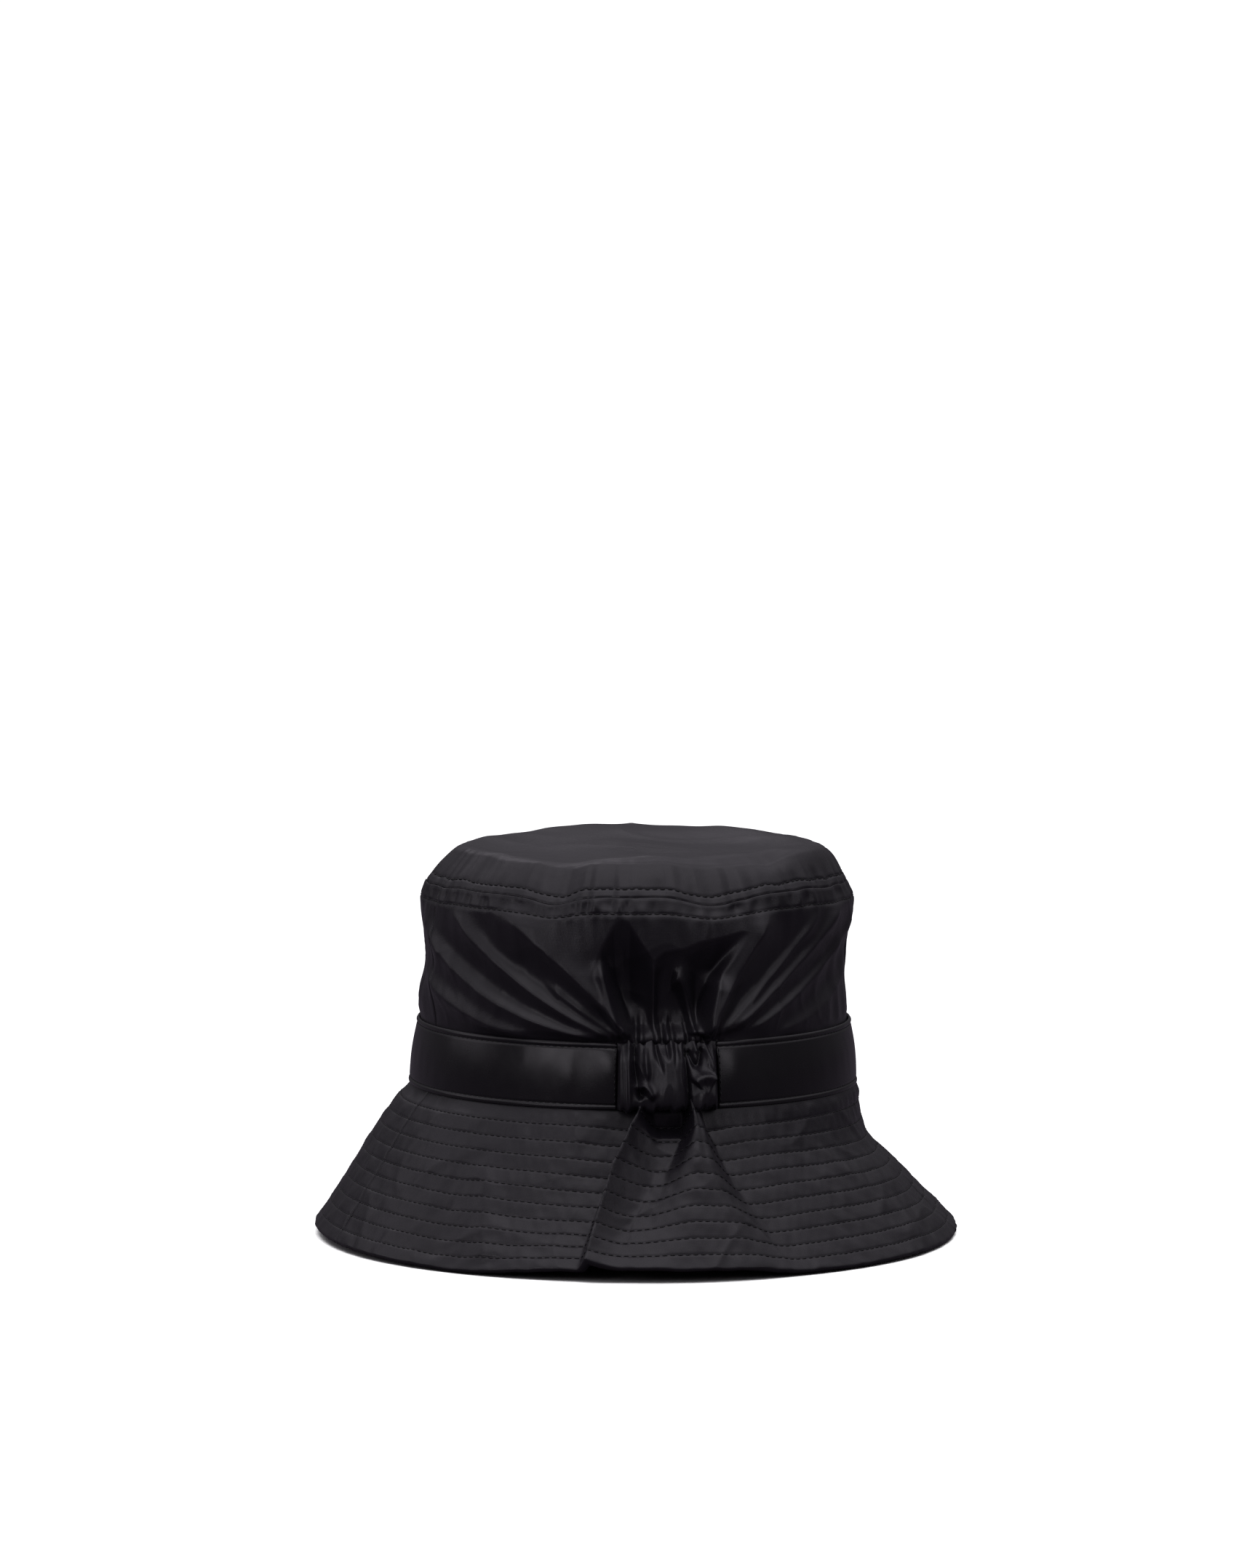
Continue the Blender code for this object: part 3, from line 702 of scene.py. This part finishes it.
def gather_pull(degrees, t):
    """How far the gathered cloth is pulled up and how far it stands out, in metres."""
    up = np.zeros(degrees.shape)
    out = np.zeros(degrees.shape)
    lines = [(name, *(np.interp(t, GATHER_STATIONS, row) for row in rows)) for name, *rows in GATHER_LINES]
    for (name, start, up_start, out_start), (next_name, end, up_end, out_end) in zip(lines, lines[1:]):
        part = np.clip((degrees - start) / (end - start), 0, 1)
        inside = (degrees >= start) & (degrees < end)
        if name == SHARP_LINE:
            ease = 1 - (1 - part) ** 1.5
        elif next_name == SHARP_LINE:
            ease = part**1.5
        else:
            firm = 0.5 if FIRM_LINE in (name, next_name) else 0.0
            ease = firm * part + (1 - firm) * part * part * (3 - 2 * part)
        up = np.where(inside, up_start + (up_end - up_start) * ease, up)
        out = np.where(inside, out_start + (out_end - out_start) * ease, out)
    ends = (lines[0][1], lines[-1][1])
    strength = np.where((degrees > ends[0]) & (degrees < ends[1]), 1.0, 0.0)
    return up * strength * MM, out * strength * MM


def edge_lift(degrees):
    """How high the brim's edge stands off the table away from the gather, in metres."""
    left = lobe(degrees, -95, 38) + 0.30 * lobe(degrees, -40, 22)
    far_side = lobe(degrees, 150, 22)
    return (3.4 * left + 2.0 * far_side) * MM


def flare(degrees, way):
    """How far the brim swings out or in from its base profile, along its normal, in millimetres."""
    t = way / BRIM_LENGTH
    left = lobe(degrees, -98, 60)
    right = lobe(degrees, 84, 42)
    swing = left * 4.6 * np.sin(math.pi * np.clip(t, 0, 1) ** 0.75)
    swing = swing + right * (-5.0 * hump(t, 0.27, 0.20) + 2.6 * smooth(0.55, 1.0, t))
    angle = np.radians(degrees)
    front = 1 - lobe(degrees, 0, 80)
    waves = 1.3 * np.sin(4 * angle + 0.8) + 0.8 * np.sin(7 * angle + 2.2)
    return swing + front * smooth(0.1, 1.0, t) * waves


def quilting(way):
    """The cloth's puff between the rows of stitching and its pinch along them, in millimetres."""
    puff = 0.07 * np.sin(math.pi * (way - FIRST_ROW) / ROW_SPACING) ** 2
    near_edge = smooth(BRIM_LENGTH + 2 * MM, BRIM_LENGTH - 1 * MM, way)
    pinch = sum(hump(way, row, 0.40 * MM) for row in BRIM_ROW_WAYS)
    return puff * near_edge - 0.26 * pinch


def brim_point(degrees, way, inset=0.0):
    """A point on the brim's upper face at a way down the cloth from the head seam, or this far under it.

    Under a steep pleat the lower layers keep to the inside of it, so that no layer cuts through another.
    """
    degrees, way, inset = np.broadcast_arrays(degrees, way, inset)
    degrees = turned(degrees, 0)
    on = np.clip(way, 0, BRIM_LENGTH)
    beyond = way - on
    normal_r = np.interp(on, BRIM_WAY, BRIM_NORMAL_R)
    normal_z = np.interp(on, BRIM_WAY, BRIM_NORMAL_Z)
    radius = np.interp(on, BRIM_WAY, BRIM_RADII) + beyond * normal_z
    height = np.interp(on, BRIM_WAY, BRIM_HEIGHTS) - beyond * normal_r
    t = on / BRIM_LENGTH
    flat = on_oval(degrees, radius, height)
    folds = sum(fold.relief(degrees, 1 - t, BRIM_MM_PER_DEGREE, BRIM_LENGTH / MM) for fold in BRIM_FOLDS)
    up, pulled_out = gather_pull(degrees, t)
    for side in (-1, 1):
        beside = gather_pull(degrees + side * inset / MM / BRIM_MM_PER_DEGREE, t)
        up, pulled_out = np.minimum(up, beside[0]), np.minimum(pulled_out, beside[1])
    relief = folds * smooth(0, 0.08, t) + flare(degrees, on) * smooth(0, 0.1, t)
    skin = 0.16 * ripple(flat, 9 * MM, 31) + 0.45 * creases(flat, 34 * MM, 33, (1, 1, 1.2))
    rows_down = (on - FIRST_ROW) / ROW_SPACING
    drift = 3 * np.floor(rows_down) + 2 * ripple(flat, 40 * MM, 37)
    puckers = 0.06 * np.sin(np.radians(degrees) * 140 + drift)
    skin = skin + puckers * np.sin(math.pi * rows_down) ** 2
    relief = relief + (skin + quilting(on)) * smooth(0, 0.03, t)
    for seam in (-SIDE_SEAM, SIDE_SEAM):
        relief = relief - 0.25 * lobe(degrees, seam, 0.35)
    out = relief * MM - inset
    radius = radius + normal_r * out + pulled_out
    height = height + normal_z * out + up + edge_lift(degrees) * t**2
    return on_oval(degrees, radius, height)


def brim_rows():
    """Ways down the brim for a mesh: close together beside each row of stitching."""
    beside = np.array([-1.5, -0.8, -0.4, 0.0, 0.4, 0.8, 1.5]) * MM
    ways = [-2.0 * MM, -1.0 * MM, 0.0, 1.0 * MM, 2.2 * MM, 3.4 * MM]
    for row in BRIM_ROW_WAYS:
        ways += list(row + beside)
    between = 0.5 * (BRIM_ROW_WAYS[1:] + BRIM_ROW_WAYS[:-1])
    ways += list(between) + list(between - 0.9 * MM) + list(between + 0.9 * MM)
    ways += [BRIM_LENGTH - 2.4 * MM, BRIM_LENGTH - 1.4 * MM, BRIM_LENGTH - 0.6 * MM]
    return np.array(sorted(ways))


# ---- making the pieces


def panels():
    """(name, first angle, last angle) of the back and front panels of the wall and the brim."""
    trim = 0.015
    yield "back", -SIDE_SEAM + trim, SIDE_SEAM - trim
    yield "front", SIDE_SEAM + trim, 360 - SIDE_SEAM - trim


def make_wall():
    """The wall's two panels and its lining. Their rows are closest where the stitches pucker the top."""
    stitched = np.linspace(CROWN_SEAM, CROWN_SEAM - 7 * MM, 22)
    draped = np.linspace(CROWN_SEAM - 7.5 * MM, BAND_TOP - 3 * MM, 92)
    heights = np.concatenate([stitched, draped, [0.5 * (WALL_LOW + BAND_TOP), WALL_LOW]])
    for half, start, end in panels():
        grid = wall_point(columns(start, end)[:, None], heights)
        sheet("crown_wall_" + half, grid, "black_nylon", 0.5 * MM, CRUMPLES)

    lining_heights = np.linspace(CROWN_SEAM, BAND_TOP - 6 * MM, 60)
    grid = wall_point(ALL_ROUND[:, None], lining_heights, 1.1 * MM)
    sheet("wall_lining", grid, "black_lining", 0.3 * MM, CRUMPLES, closed=True)


def make_tip():
    """The tip, its lining, and the tape that covers its seam inside."""
    flat, shoulder, near_seam = (0.0003, 0.80, 46), (0.81, 0.965, 34), (0.97, 1.0, 22)
    shares = np.concatenate([np.linspace(*part) for part in (flat, shoulder, near_seam)])
    grid = tip_point(ALL_ROUND[:, None], shares)
    sheet("crown_tip", grid, "black_nylon", 0.5 * MM, "crown_top", closed=True)

    lining_angles = np.arange(0, 360, 3.0)
    grid = tip_point(lining_angles[:, None], np.linspace(0.0003, 0.998, 40), 1.7 * MM)
    sheet("tip_lining", grid, "black_lining", 0.3 * MM, "crown_top", closed=True)

    tape_heights = np.linspace(CROWN_SEAM, CROWN_SEAM - 3.5 * MM, 9)
    grid = wall_point(ALL_ROUND[:, None], tape_heights, 3.2 * MM)
    sheet("tip_seam_tape", grid, "ribbed_tape", 0.3 * MM, "crown_top", closed=True, slot_name="black_lining")


def row_on(surface, angles, way, closed=True):
    """A line on a surface at one way or height, with the surface's normals along it."""
    step = 0.4 * MM
    grid = surface(angles[:, None], np.array([way + step, way, way - step]))
    normals = grid_normals(grid)[:, 1]
    line = grid[:, 1]
    outward = line * np.array([1, 1, 0])
    flip = np.sign(np.sum(outward * normals, axis=1))
    normals = normals * flip[:, None]
    if closed:
        line = np.vstack([line, line[:1]])
        normals = np.vstack([normals, normals[:1]])
    return line, normals


def make_crown_stitches():
    for node, surface, way, body in (
        ("wall_topstitch", wall_point, WALL_ROW, CRUMPLES),
        ("tip_topstitch", tip_point, TIP_ROW_SHARE, "crown_top"),
    ):
        stitches(node, *row_on(surface, ALL_ROUND, way), radius=0.24 * MM, body=body)


BAND_ROW_SHARE = 2.0 * MM / (BAND_TOP - BAND_LOW)


def band_point(degrees, share, inset=0.0):
    """A point on the hat band: share 0 is its top edge and 1 its bottom edge."""
    degrees, share = np.broadcast_arrays(degrees, share)
    degrees = turned(degrees, 0)
    radius = BAND_TOP_R + (BAND_LOW_R - BAND_TOP_R) * share
    radius = radius + 0.9 * MM * lobe(degrees, -98, 60) * share
    height = BAND_TOP + (BAND_LOW - BAND_TOP) * share
    flat = on_oval(degrees, radius, height)
    lips = 0.45 * hump(share, 0.03, 0.035) + 0.30 * hump(share, 0.97, 0.035)
    grooves = -0.40 * sum(hump(share, row, 0.016) for row in (BAND_ROW_SHARE, 1 - BAND_ROW_SHARE))
    slack = 0.8 * lobe(degrees, 0, 26) * ripple(flat, 20 * MM, 41, (1, 1, 2.4))
    slack = slack + 0.22 * ripple(flat, 45 * MM, 43, (1, 1, 2.0)) + 0.05 * ripple(flat, 8 * MM, 44, (1, 1, 3))
    pulled = 1.5 * (smooth(-24, -14, degrees) - smooth(13, 22, degrees))
    arch = np.sin(math.pi * np.clip(share, 0, 1))
    relief = lips + grooves + (0.9 + slack) * arch + pulled * arch**0.5
    return on_oval(degrees, radius + relief * MM - inset, height)


def make_band():
    """The satin band, with its turned-in edges and the stitch row along each of them."""
    near_top, near_low = np.linspace(0, 0.16, 16), np.linspace(0.84, 1.0, 16)
    shares = np.concatenate([near_top, np.linspace(0.19, 0.81, 24), near_low])
    low, high = CASING_ENDS
    angles = columns(high, 360 + low, fine=0.4, coarse=1.0)
    lip_insets = np.array([1.0, 0.6, 0.2]) * MM
    lip_rises = np.array([-0.2, 0.12, 0.1]) * MM
    grid = band_point(angles[:, None], shares)
    lip_top = band_point(angles[:, None], np.zeros((1, 3)), lip_insets)
    lip_low = band_point(angles[:, None], np.ones((1, 3)), lip_insets[::-1])
    lip_top[..., 2] += lip_rises
    lip_low[..., 2] -= lip_rises[::-1]
    grid = np.concatenate([lip_top, grid, lip_low], axis=1)
    sheet("hat_band", grid, "black_satin", 0.4 * MM, hides=["band_interlining"])

    rows = (("band_top_stitch", BAND_ROW_SHARE), ("band_bottom_stitch", 1 - BAND_ROW_SHARE))
    for node, share in rows:
        row = row_on(band_point, angles, share, closed=False)
        stitches(node, *row, radius=0.17 * MM)


def make_brim():
    ways = brim_rows()
    turns = np.linspace(0, math.pi, 9)
    roll_ways = BRIM_LENGTH + BRIM_HALF_THICK * np.sin(turns)
    roll_insets = BRIM_HALF_THICK * (1 - np.cos(turns))
    back_ways = np.array([BRIM_LENGTH - 1.0 * MM, BRIM_LENGTH - 2.5 * MM])
    all_ways = np.concatenate([ways, roll_ways, back_ways])
    back_insets = np.full(len(back_ways), 2 * BRIM_HALF_THICK)
    insets = np.concatenate([np.zeros(len(ways)), roll_insets, back_insets])
    under_ways = np.linspace(0, BRIM_LENGTH - 1.5 * MM, 60)
    for half, start, end in panels():
        angles = columns(start, end)
        grid = brim_point(angles[:, None], all_ways, insets)
        sheet("brim_upper_" + half, grid, "black_nylon", 0.4 * MM)
        grid = brim_point(angles[:, None], under_ways, 1.9 * MM)
        sheet("brim_under_" + half, grid, "black_nylon", 0.4 * MM)

    core_ways = np.linspace(2 * MM, BRIM_LENGTH - 3 * MM, 50)
    grid = brim_point(ALL_ROUND[:, None], core_ways, 0.9 * MM)
    sheet("brim_interlining", grid, "grey_interlining", 0.4 * MM, closed=True)

    for number, way in enumerate(BRIM_ROW_WAYS, start=1):
        row = row_on(brim_point, ALL_ROUND, way)
        stitches(f"brim_stitch_row_{number:02d}", *row, radius=0.23 * MM)


CASING_MM_PER_DEGREE = 1.62
CASING_FOLDS = [
    # the two narrow columns at the left end, then the deep fold beside them
    Fold((-12.2, 1.1), (-11.8, 0.5), (-11.2, -0.1), 1.6, 1.2, 1.3, 0.9, (0, 0)),
    Fold((-9.8, 1.1), (-10.2, 0.5), (-9.6, -0.1), 1.8, 0.9, 1.1, 0.9, (0, 0)),
    Fold((-8.6, 1.1), (-9.4, 0.55), (-6.6, 0.16), -3.4, 1.1, 1.6, 1, (0, 0.1)),
    # the bright column and the facet that stands out at its foot
    Fold((-6.6, 1.1), (-5.8, 0.7), (-5.6, 0.4), 3, 1.5, 1.4, 0.8, (0, 0.3)),
    Fold((-8.2, 0.3), (-6, 0.52), (-4.2, 0.16), 3.4, 1.6, 1.8, 0.6, (0.2, 0.2)),
    # the broad middle lobe with two notches in its top
    Fold((-0.4, 1.1), (-0.2, 0.5), (-0.4, -0.1), 3.2, 4.2, 5, 1, (0, 0), 2.6),
    Fold((-3.4, 1.05), (-3.2, 0.8), (-1.6, 0.5), -2.2, 0.9, 0.7, 1, (0, 0.5)),
    Fold((-0.8, 1.05), (-0.4, 0.9), (-0.4, 0.74), -1.4, 0.8, 0.7, 1, (0, 0.5)),
    Fold((1.8, 1.05), (1.4, 0.8), (0.8, 0.6), -1.2, 0.7, 0.7, 1, (0, 0.5)),
    # the dark line right of it, the curl at the top, and the facet under the curl
    Fold((3.9, 1), (4.3, 0.5), (4.1, -0.1), -3.2, 0.9, 0.9, 1, (0, 0)),
    Fold((4.7, 0.95), (6.4, 0.34), (8.6, 0.98), -3.4, 1.1, 1.1, 1, (0.1, 0.1)),
    Fold((6.6, 1.1), (6.6, 0.92), (6.8, 0.8), 2.2, 1.1, 1, 1, (0, 0.3)),
    Fold((9.6, 1.1), (9.8, 0.8), (10.6, 0.5), 2.4, 1.2, 1.2, 0.9, (0, 0.3)),
    Fold((5.2, 0.42), (8, 0.6), (11.2, 0.46), 3.6, 1.4, 1.6, 2.2, (0.1, 0.1)),
    Fold((6.6, -0.1), (7, 0.16), (8, 0.4), 2.4, 2.6, 2.2, 1, (0, 0.3)),
]
CASING_TILT = 5.0  # mm that its foot stands out
CASING_BULGE = 2.6  # mm


def casing_point(degrees, turn):
    """A point on the gathered casing. Turn 0 is its top inner edge, 0.5 its front and 1 the bottom edge."""
    degrees, turn = np.broadcast_arrays(degrees, turn)
    low, high = CASING_ENDS
    across = (degrees - low) / (high - low)
    middle = 0.5 * (BAND_TOP + BAND_LOW)
    half_high = 0.5 * (BAND_TOP - BAND_LOW)
    angle = (turn - 0.5) * math.pi * 1.06
    belly = np.sign(np.cos(angle)) * np.abs(np.cos(angle)) ** 0.45
    rise = -np.sign(np.sin(angle)) * np.abs(np.sin(angle)) ** 0.85
    share = 0.5 + 0.5 * rise
    radius = BAND_TOP_R + (BAND_LOW_R - BAND_TOP_R) * (1 - share) - 0.4 * MM
    mm_high = 2 * half_high / MM
    folds = sum(fold.relief(degrees, share, CASING_MM_PER_DEGREE, mm_high) for fold in CASING_FOLDS)
    flat = on_oval(degrees, radius, middle + half_high * rise)
    folds = folds + 0.08 * ripple(flat, 5 * MM, 51, (1, 1, 2.2))
    folds = folds + 0.3 * creases(flat, 11 * MM, 52, (1, 1, 1.6))
    ends = smooth(0, 0.05, across) * (1 - smooth(0.92, 1.0, across))
    gathered = ends * np.clip(belly, 0, 1)
    swell = CASING_BULGE * smooth(1.0, 0.72, share) + CASING_TILT * (1 - share)
    swell = swell + folds * (1 - 0.55 * smooth(0.82, 1.0, share))
    out = 0.9 * belly + swell * gathered
    ruffle = 0.045 * np.sin(degrees * 1.1 + 0.6) + 0.035 * np.sin(degrees * 2.3)
    ruffle = ruffle + 0.02 * np.sin(degrees * 4.1)
    return on_oval(degrees, radius + out * MM, middle + half_high * rise * (1 + ruffle * ends))


def make_casing():
    low, high = CASING_ENDS
    angles = np.linspace(low, high, 190)
    turns = np.linspace(0, 1, 90)
    grid = casing_point(angles[:, None], turns)
    sheet("back_casing", grid, "black_nylon", 0.3 * MM)

    elastic_angles = np.linspace(low + 1, high - 1, 160)
    elastic_heights = np.linspace(BAND_TOP - 4 * MM, BAND_LOW + 4 * MM, 20)
    crimp = 0.25 * MM * np.cos(elastic_angles * 9)[:, None]
    grid = on_oval(elastic_angles[:, None], BAND_TOP_R + 0.6 * MM + crimp, elastic_heights)
    sheet("back_elastic", grid, "black_elastic", 0.8 * MM)

    for side, degrees in (("left", low - 0.35), ("right", high + 0.35)):
        shares = np.linspace(0.08, 0.92, 40)
        line = band_point(degrees, shares)
        normals = on_oval(degrees, 1.0, 0 * shares)
        normals /= np.linalg.norm(normals, axis=1)[:, None]
        stitches("casing_end_stitch_" + side, line, normals, pitch=2.4 * MM)


def make_sweatband():
    around = np.arange(0, 360, 1.0)
    heights = np.linspace(SWEATBAND_TOP, SWEATBAND_LOW, 30)
    share = (heights - SWEATBAND_LOW) / (SWEATBAND_TOP - SWEATBAND_LOW)
    lean = -0.6 * MM * smooth(0.6, 1.0, share)
    radius = SWEATBAND_R - 0.6 * MM + lean
    flat = on_oval(around[:, None], radius, heights)
    radius = radius + 0.25 * MM * ripple(flat, 40 * MM, 61, (1, 1, 2))
    grid = on_oval(around[:, None], radius, heights)
    sheet("sweatband", grid, "ribbed_tape", 0.8 * MM, closed=True)

    inner = SWEATBAND_R - 1.55 * MM
    line = on_oval(around, inner, SWEATBAND_LOW + 2.5 * MM)
    normals = -line * np.array([1, 1, 0])
    normals /= np.linalg.norm(normals, axis=1)[:, None]
    line = np.vstack([line, line[:1]])
    normals = np.vstack([normals, normals[:1]])
    stitches("sweatband_stitch", line, normals)


def make_labels():
    """The two blank labels, each a strip of satin that hangs from its row of stitches."""
    for node, joint_name, body in (
        ("care_label", "care_label_lift", "care_label_flap"),
        ("size_tab", "size_tab_lift", "size_tab_flap"),
    ):
        joint = next(j for j in frame["joints"] if j["name"] == joint_name)
        hinge, axis = np.array(joint["pos_m"]), np.array(joint["axis"], float)
        inward = np.array([-axis[1], axis[0], 0.0])
        points = np.array([v.co for v in frame["nodes"][node].data.vertices])
        half_width = np.abs((points - hinge) @ axis).max()
        length = hinge[2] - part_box(node)[0].z
        across = np.linspace(-1, 1, 31)
        down = np.linspace(0.3 * MM, length, 33)
        curl = 0.6 * MM * (down / length) ** 2
        grid = hinge + across[:, None, None] * half_width * axis
        grid = grid + (0.25 * MM + curl)[None, :, None] * inward
        grid[..., 2] -= down
        sheet(node, grid, "label_satin", 0.35 * MM, body)

        line = hinge + np.linspace(-0.96, 0.96, 30)[:, None] * half_width * axis
        line = line + inward * 0.45 * MM
        normals = np.repeat(inward[None, :], 30, axis=0)
        stitches(node + "_stitch", line, normals, pitch=2.2 * MM)


# ---- the stage


def make_floor():
    """A plain pale floor that glows white to the camera, with a painted shadow under the brim where the glow
    fades to dark. As light it is darker, so it lights the hat's underside only a little.
    """
    bpy.ops.mesh.primitive_plane_add(size=14, location=(0, 2.0, 0))
    floor = bpy.context.object
    floor.name = "floor"
    nodes = Nodes(bpy.data.materials.new("pale_floor"))
    seen = nodes.add("ShaderNodeLightPath").outputs["Is Camera Ray"]
    # Painted shadow: the camera sees the floor's glow only where it is open to the sky, so under the hat's
    # brim it goes dark.
    open_sky = nodes.add("ShaderNodeAmbientOcclusion", Distance=0.25, samples=8)
    sky = open_sky.outputs["AO"]
    glow_outside_painted_shadow = nodes.add("ShaderNodeMapRange", Value=sky, From_Min=0.30, From_Max=0.58)
    glow_outside_painted_shadow.interpolation_type = "SMOOTHSTEP"
    nodes.give(
        Base_Color=nodes.blend(seen, (0.130, 0.117, 0.137), (0.60, 0.60, 0.60)),
        Emission_Color=(1, 1, 1, 1),
        Emission_Strength=nodes.maths("MULTIPLY", seen, glow_outside_painted_shadow.outputs["Result"]),
        Roughness=0.9,
        Specular_IOR_Level=0.0,
    )
    floor.data.materials.append(nodes.owner)


# The surround as light: (how far up, from 0 straight below to 1 overhead, and its brightness)
SKY_STOPS = [(0.0, 0.01), (0.51, 0.065), (0.64, 0.085), (0.80, 0.43), (1.0, 0.57)]


def make_world():
    """White behind the hat. As light it is bright overhead and dim at the horizon."""
    nodes = Nodes(bpy.data.worlds.new("studio"))
    bpy.context.scene.world = nodes.owner
    nodes.tree.nodes.clear()
    place = nodes.add("ShaderNodeTexCoord").outputs["Generated"]
    split = nodes.add("ShaderNodeSeparateXYZ", Vector=place)
    remap = nodes.add("ShaderNodeMapRange", Value=split.outputs["Z"], From_Min=-1)
    ramp = nodes.add("ShaderNodeValToRGB", Fac=remap.outputs["Result"])
    elements = ramp.color_ramp.elements
    while len(elements) < len(SKY_STOPS):
        elements.new(0.5)
    for element, (position, value) in zip(elements, SKY_STOPS):
        element.position = position
        element.color = (value, 0.955 * value, 1.04 * value, 1)
    lights = nodes.add("ShaderNodeBackground", Color=ramp.outputs["Color"])
    white = nodes.add("ShaderNodeBackground", Color=(1, 1, 1, 1), Strength=1.05)
    seen = nodes.add("ShaderNodeLightPath").outputs["Is Camera Ray"]
    mix = nodes.add("ShaderNodeMixShader", Fac=seen)
    nodes.link(lights.outputs["Background"], mix.inputs[1])
    nodes.link(white.outputs["Background"], mix.inputs[2])
    nodes.add("ShaderNodeOutputWorld", Surface=mix.outputs["Shader"])


def add_softbox(name, place, size, power):
    """A rectangular light of this power in watts, turned towards the hat."""
    light = bpy.data.lights.new(name, "AREA")
    light.shape = "RECTANGLE"
    light.size, light.size_y = size
    light.energy = power
    light.color = (1.0, 0.945, 1.03)
    box = bpy.data.objects.new(name, light)
    box.location = place
    bpy.context.scene.collection.objects.link(box)
    box.rotation_euler = (-box.location).to_track_quat("-Z", "Y").to_euler()


def make_lights():
    """Soft light from above, narrow ones that draw the folds, and a rear one for the crease of the top."""
    add_softbox("overhead_softbox", (0.0, -0.3, 1.8), (2.2, 1.8), 5)
    add_softbox("left_softbox", (-1.85, -1.3, 0.75), (1.2, 0.6), 3.2)
    add_softbox("left_rear_softbox", (-2.1, 0.7, 0.80), (1.2, 0.8), 1.4)
    add_softbox("right_softbox", (1.45, -1.6, 0.70), (0.5, 0.5), 1.0)
    add_softbox("rear_softbox", (-0.4, 1.8, 1.45), (1.2, 0.30), 0.9)


CAMERA_TURN = -8.2  # degrees from the gather
CAMERA_DIP = 4.18  # degrees below level
CAMERA_DISTANCE = 2.338
CAMERA_HEIGHT = 0.3545
CAMERA_LENS = 131.68
CAMERA_SHIFT = -0.00394


def make_camera():
    camera_data = bpy.data.cameras.new("camera")
    camera_data.lens = CAMERA_LENS
    camera_data.sensor_width = 36
    camera_data.shift_x = CAMERA_SHIFT
    camera = bpy.data.objects.new("camera", camera_data)
    turn = math.radians(CAMERA_TURN)
    camera.location = (math.sin(turn) * CAMERA_DISTANCE, -math.cos(turn) * CAMERA_DISTANCE, CAMERA_HEIGHT)
    camera.rotation_euler = (math.radians(90 - CAMERA_DIP), 0, turn)
    bpy.context.scene.collection.objects.link(camera)
    bpy.context.scene.camera = camera


def main():
    make_tip()
    make_wall()
    make_crown_stitches()
    make_band()
    make_casing()
    make_brim()
    make_sweatband()
    make_labels()
    make_floor()
    make_world()
    make_lights()
    make_camera()
    bpy.context.scene.view_settings.view_transform = "Standard"


main()
